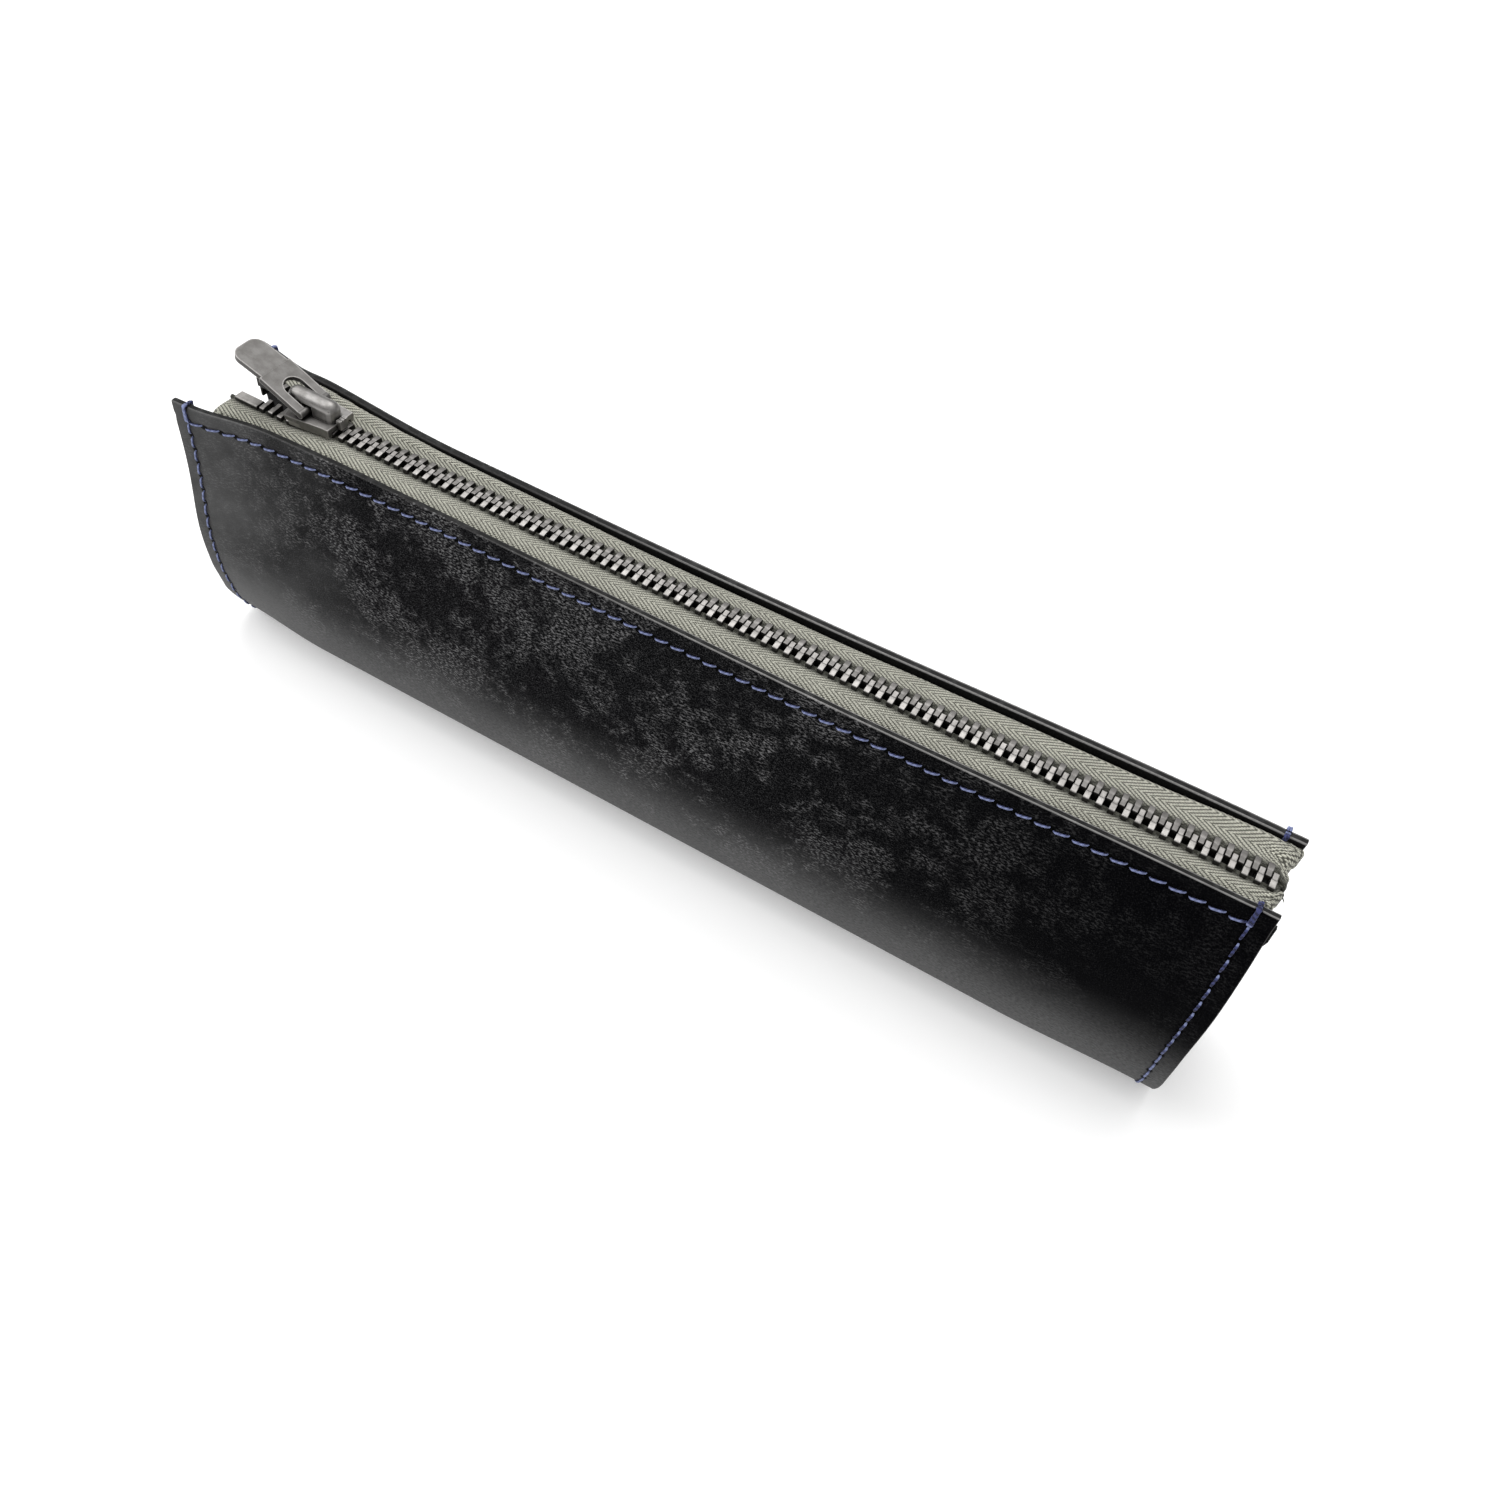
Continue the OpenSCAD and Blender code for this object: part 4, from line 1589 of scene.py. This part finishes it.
    def cord(self, side: Side, stop: float) -> np.ndarray:
        """Path of the cord along a tape's inner edge.

        Args:
            side: The row.
            stop: X where the cord ends.

        Returns:
            Points of the cord, drawn in and down at the far end.
        """
        x = spaced(self.tape_start, stop, 0.5)
        drawn = (self.bead_y - 0.2) * smooth(96.6, 97.5, x)
        y = side.value * (self.bead_y + self.shift(x) - drawn)
        return np.stack([x, y, self.bead_z - 0.5 * smooth(96, 98, x)], -1)

    def build_tape(self, side: Side) -> None:
        """Builds one tape with the cord along its edge.

        Args:
            side: The row.
        """
        tape_end = self.tape_end - (self.front_short if side is Side.FRONT else 0.0)
        xs = spaced(self.tape_start + self.fold, tape_end - self.fold, 0.6)
        rows = [self.section(x, side) for x in xs]
        middle = np.array([[(x, side.value * y, z) for y, z in row] for x, row in zip(xs, rows)])
        left, left_run = self.over_end(middle[0], End.SLIDER)
        right, right_run = self.over_end(middle[-1], End.FAR)
        middle = self.crumpled(np.concatenate([left[::-1], middle, right]), side)
        run_x = np.concatenate([(xs[0] - left_run)[::-1], xs, xs[-1] + right_run])
        run_y = np.linspace(0, self.tape_width, middle.shape[1])
        place = np.stack(np.broadcast_arrays(run_x[:, None], run_y[None, :]), -1)
        mesher = Mesher()
        half = np.full(middle.shape[:2], self.tape_thickness / 2)
        order = slice(None, None, -1 if side is Side.FRONT else 1)
        mesher.add_sheet(middle[:, order], place[:, order], half)
        cord = self.cord(side, tape_end - 0.4)
        mesher.add_tube(cord, np.full(len(cord), self.bead_radius), 12)
        self.add_frays(mesher, middle[-1], middle[-3], 46, 1.5)
        self.add_frays(mesher, middle[-5], middle[-7], 30, 1.1)
        self.add_frays(mesher, middle[0], middle[2], 22, 0.8)
        tape = mesher.build(f"{side.name.lower()}_twill_tape", [self.finishes.tape])
        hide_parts(f"{side.name.lower()}_tape")
        ride_wall(tape, side)

    def build(self) -> None:
        """Builds both rows."""
        for side in Side:
            self.build_tape(side)
            self.build_teeth(side)


# ---------------------------------------------------------------- seams


@dataclass
class Seams:
    """Six rows of lock stitches in blue thread."""

    finishes: Finishes
    sides: int = 8
    rings: int = 11
    sink: float = 0.32
    # Each lashing's hole along the case, how far it crosses and how high it lies.
    lashings: tuple[Point, ...] = ((-0.24, 0.12, 0.16), (0.2, -0.14, 0.24))
    lashing_rings: int = 40
    lashing_swell: float = 1.15

    def stitch(self, mesher: Mesher, start: np.ndarray, end: np.ndarray, outwards: np.ndarray) -> None:
        """Adds one stitch that dives into the leather at both ends.

        Args:
            mesher: The seam's mesh.
            start: Surface point of the first hole.
            end: Surface point of the next hole.
            outwards: Direction out of the leather.
        """
        t = np.linspace(0, 1, self.rings)
        rise = SEWING.thread * 0.75 - (self.sink + SEWING.thread) * np.abs(2 * t - 1) ** 5
        path = start + (end - start) * t[:, None] + outwards * rise[:, None]
        radius = SEWING.thread * (1 - 0.25 * np.abs(2 * t - 1) ** 4)
        mesher.add_tube(path, radius, self.sides, plies=SEWING.twist, crown=outwards)

    def surface(self, x: float, run: float, side: Side) -> np.ndarray:
        """Finds a point on the outer face of a wall or of the base below it.

        Args:
            x: Place along the case.
            run: Distance down from the top edge.
            side: The wall.

        Returns:
            The point.
        """
        if run <= CASE.wall_run:
            y, z = CASE.wall(np.array([x]), np.array([run]), side)
            return np.array([x, float(y[0]), float(z[0])])
        y, z = CASE.base(np.array([x]), np.array([run - CASE.wall_run]))
        return np.array([x, -side.value * float(y[0]), float(z[0])])

    def outwards(self, x: float, run: float, side: Side) -> np.ndarray:
        """Finds the direction out of the outer face.

        Args:
            x: Place along the case.
            run: Distance down from the top edge.
            side: The wall.

        Returns:
            The direction, of length 1.
        """
        along = self.surface(x + 0.1, run, side) - self.surface(x - 0.1, run, side)
        down = self.surface(x, run + 0.1, side) - self.surface(x, run - 0.1, side)
        normal = np.cross(along, down) * side.value
        return normal / np.linalg.norm(normal)

    def build_top(self, side: Side) -> None:
        """Builds the seam that holds a tape along a wall's top edge.

        Args:
            side: The wall.
        """
        mesher = Mesher()
        count = int((CASE.length - 2 * SEWING.inset) / SEWING.pitch)
        margin = (SEWING.pitch - SEWING.visible) / 2
        for k in range(count):
            low = SEWING.first_hole + k * SEWING.pitch + margin
            high = low + SEWING.visible
            start = self.surface(low, SEWING.inset + SEWING.slant, side)
            end = self.surface(high, SEWING.inset - SEWING.slant, side)
            self.stitch(mesher, start, end, self.outwards((low + high) / 2, SEWING.inset, side))
        self.finish(mesher, f"{side.name.lower()}_top_seam", side)

    def wrap(self, mesher: Mesher, x: float, side: Side) -> None:
        """Adds the lashing that crosses a wall's top edge at the end of a seam.

        Args:
            mesher: The seam's mesh.
            x: Place along the case.
            side: The wall.
        """
        for place, cross, lift in self.lashings:
            hole = self.surface(x + place, SEWING.inset - 0.1, side)
            brink = self.surface(x + place + cross, 0.25, side)
            out = self.outwards(x, 1.0, side)
            through = -out * (CASE.leather + 2 * lift)
            over = np.array([-cross / 2, 0, 0.2 + lift])
            upper = hole * 0.3 + brink * 0.7
            lower = hole * 0.7 + brink * 0.3
            corners = [
                hole - out * self.sink, hole + out * lift * 0.6, lower + out * lift,
                upper + out * lift, brink + out * lift * 0.9, brink + out * lift * 0.2 + over,
                brink + through * 0.5 + over * 1.12, brink + through * 0.9 + over,
                brink + through + out * lift, lower + through + out * lift,
                hole + through + out * (lift + self.sink),
            ]
            path = curve_through([tuple(c) for c in corners], self.lashing_rings)
            radius = np.full(len(path), SEWING.thread * self.lashing_swell)
            mesher.add_tube(path, radius, self.sides, plies=SEWING.twist, crown=out)

    def build_end(self, side: Side, end: End) -> None:
        """Builds the seam that holds a gusset along a wall's end.

        Its stitches below the wall's foot are a piece of their own, which stays with the base.

        Args:
            side: The wall.
            end: The end of the case.
        """
        wall, base = Mesher(), Mesher()
        x = end.value * (CASE.x_right - SEWING.inset)
        last = CASE.wall_run + CASE.corner_run - 3.0
        count = int((last - SEWING.inset) / SEWING.pitch)
        margin = (SEWING.pitch - SEWING.visible) / 2
        self.wrap(wall, x, side)
        for k in range(count):
            low = SEWING.inset + k * SEWING.pitch + margin
            high = low + SEWING.visible
            slant = -0.4 * SEWING.slant * side.value
            start = self.surface(x + slant, low, side)
            stop = self.surface(x - slant, high, side)
            part = wall if (low + high) / 2 < CASE.wall_run else base
            self.stitch(part, start, stop, self.outwards(x, (low + high) / 2, side))
        name = f"{side.name.lower()}_{end.name.lower()}_end_seam"
        self.finish(wall, name, side)
        self.finish(base, f"{name}_foot", Side.BACK)

    def finish(self, mesher: Mesher, name: str, carrier: Side) -> None:
        """Dresses a seam.

        Args:
            mesher: Its mesh.
            name: The piece's name.
            carrier: The wall that it rides with. The base moves with the back wall.
        """
        seam = mesher.build(name, [self.finishes.thread])
        ride_wall(seam, carrier)

    def build(self) -> None:
        """Builds all six seams."""
        for side in Side:
            self.build_top(side)
            for end in End:
                self.build_end(side, end)


# ---------------------------------------------------------------- slider


@dataclass
class Hardware:
    """Metal pieces that keep the frame's own shape."""

    finishes: Finishes
    edge: float = 0.12
    edge_segments: int = 3
    sharp_from: float = 35.0
    weld: float = 0.002

    def soften(self, node: bpy.types.Object) -> None:
        """Rounds a metal piece's edges.

        Args:
            node: The frame's piece.
        """
        weld = node.modifiers.new("weld", "WELD")
        weld.merge_threshold = self.weld * MM
        bevel = node.modifiers.new("soft_edges", "BEVEL")
        bevel.width = self.edge * MM
        bevel.segments = self.edge_segments
        bevel.limit_method = "ANGLE"
        bevel.angle_limit = math.radians(self.sharp_from)
        bevel.harden_normals = False

    def build(self) -> None:
        """Dresses every metal node that stays."""
        worn = {
            "slider_body": self.finishes.slider,
            "slider_crown": self.finishes.slider,
            "lock_spring": self.finishes.spring,
            "pull_tab": self.finishes.tab,
            "front_top_stop": self.finishes.teeth[Side.FRONT],
            "back_top_stop": self.finishes.teeth[Side.BACK],
        }
        for name, material in worn.items():
            node = frame["nodes"][name]
            node.data.materials.clear()
            node.data.materials.append(material)
            self.soften(node)
            LOG.info("%s dressed in %s", name, material.name)


# ---------------------------------------------------------------- studio


@dataclass
class Studio:
    """Floor, light and camera."""

    camera_at: Point = (71.3, -131.9, 200.4)
    camera_turn: Point = (38.98, -5.26, 29.96)
    lens: float = 31.37
    floor_size: float = 4000.0
    floor_colour: Colour = grey(0.82)
    wall_height: float = 0.15
    ceiling_height: float = 0.85
    wall_shine: float = 0.3
    ceiling_shine: float = 0.95
    room_light: float = 0.78

    def floor(self) -> None:
        """A pale floor that keeps the case's shadow and reads as white to the camera."""
        mesh = bpy.data.meshes.new("floor")
        half = self.floor_size / 2 * MM
        corners = [(-half, -half, 0), (half, -half, 0), (half, half, 0), (-half, half, 0)]
        mesh.from_pydata(corners, [], [(0, 1, 2, 3)])
        sheet = NodeSheet.of_material("floor_paper")
        seen = sheet.node("ShaderNodeLightPath", output="Is Camera Ray")
        fine = sheet.noise(sheet.solid_place(), 0.01, 2.0)
        colour = sheet.mix(fine * 0.3, self.floor_colour, grey(0.84))
        material = sheet.finish(
            Base_Color=colour,
            Roughness=0.9,
            Specular_IOR_Level=0.1,
            Emission_Color=sheet.mix(seen, grey(0.0), grey(0.24)),
            Emission_Strength=1.0,
        )
        mesh.materials.append(material)
        floor = bpy.data.objects.new("floor", mesh)
        bpy.context.scene.collection.objects.link(floor)

    def world(self) -> None:
        """White surroundings that light the case from a ceiling brighter than its walls."""
        sheet = NodeSheet(bpy.data.worlds.new("studio"))
        bpy.context.scene.world = sheet.owner
        glossy = sheet.node("ShaderNodeLightPath", output="Is Glossy Ray")
        seen = sheet.node("ShaderNodeLightPath", output="Is Camera Ray")
        _, _, upwards = sheet.split(sheet.node("ShaderNodeTexCoord", output="Generated"))
        heights = {"From Min": self.wall_height, "From Max": self.ceiling_height}
        shines = {"To Min": self.wall_shine, "To Max": self.ceiling_shine}
        settings = {"interpolation_type": "SMOOTHSTEP"}
        ceiling = sheet.node("ShaderNodeMapRange", settings, {"Value": upwards} | heights | shines)
        shine = sheet.node("ShaderNodeMix", inputs={0: glossy, 2: self.room_light, 3: ceiling})
        strength = sheet.node("ShaderNodeMix", inputs={0: seen, 2: shine, 3: 1.0})
        light = sheet.node("ShaderNodeBackground", inputs={"Color": (1, 1, 1, 1), "Strength": strength})
        sheet.node("ShaderNodeOutputWorld", inputs={"Surface": light})

    def lamp(self, name: str, at: Point, size: float, power: float) -> None:
        """A square soft box that faces the case.

        Args:
            name: Its name.
            at: Its middle.
            size: Its side.
            power: Its power in watts.
        """
        data = bpy.data.lights.new(name, "AREA")
        data.size = size * MM
        data.energy = power
        lamp = bpy.data.objects.new(name, data)
        bpy.context.scene.collection.objects.link(lamp)
        lamp.location = Vector(at) * MM
        lamp.rotation_euler = (-lamp.location).to_track_quat("-Z", "Y").to_euler()

    def camera(self) -> None:
        """The camera that looks down on the case from its front right."""
        data = bpy.data.cameras.new("camera")
        data.lens = self.lens
        data.sensor_width = 36
        data.clip_start = 0.01
        camera = bpy.data.objects.new("camera", data)
        bpy.context.scene.collection.objects.link(camera)
        camera.location = Vector(self.camera_at) * MM
        camera.rotation_euler = Euler([math.radians(a) for a in self.camera_turn])
        bpy.context.scene.camera = camera

    def build(self) -> None:
        """Sets the whole studio."""
        scene = bpy.context.scene
        scene.view_settings.view_transform = "Standard"
        self.camera()
        self.world()
        self.floor()
        self.lamp("top_box", (-150, 250, 900), 800, 5.5)
        self.lamp("left_box", (-700, -150, 500), 500, 2.5)


def main() -> None:
    """Builds the case's looks in order."""
    logging.basicConfig(level=logging.INFO, format="%(message)s")
    Studio().build()
    finishes = Finishes()
    LeatherBody(finishes).build()
    Gussets(finishes).build()
    ZipChain(finishes).build()
    Seams(finishes).build()
    Hardware(finishes).build()


if __name__ == "__main__":
    main()
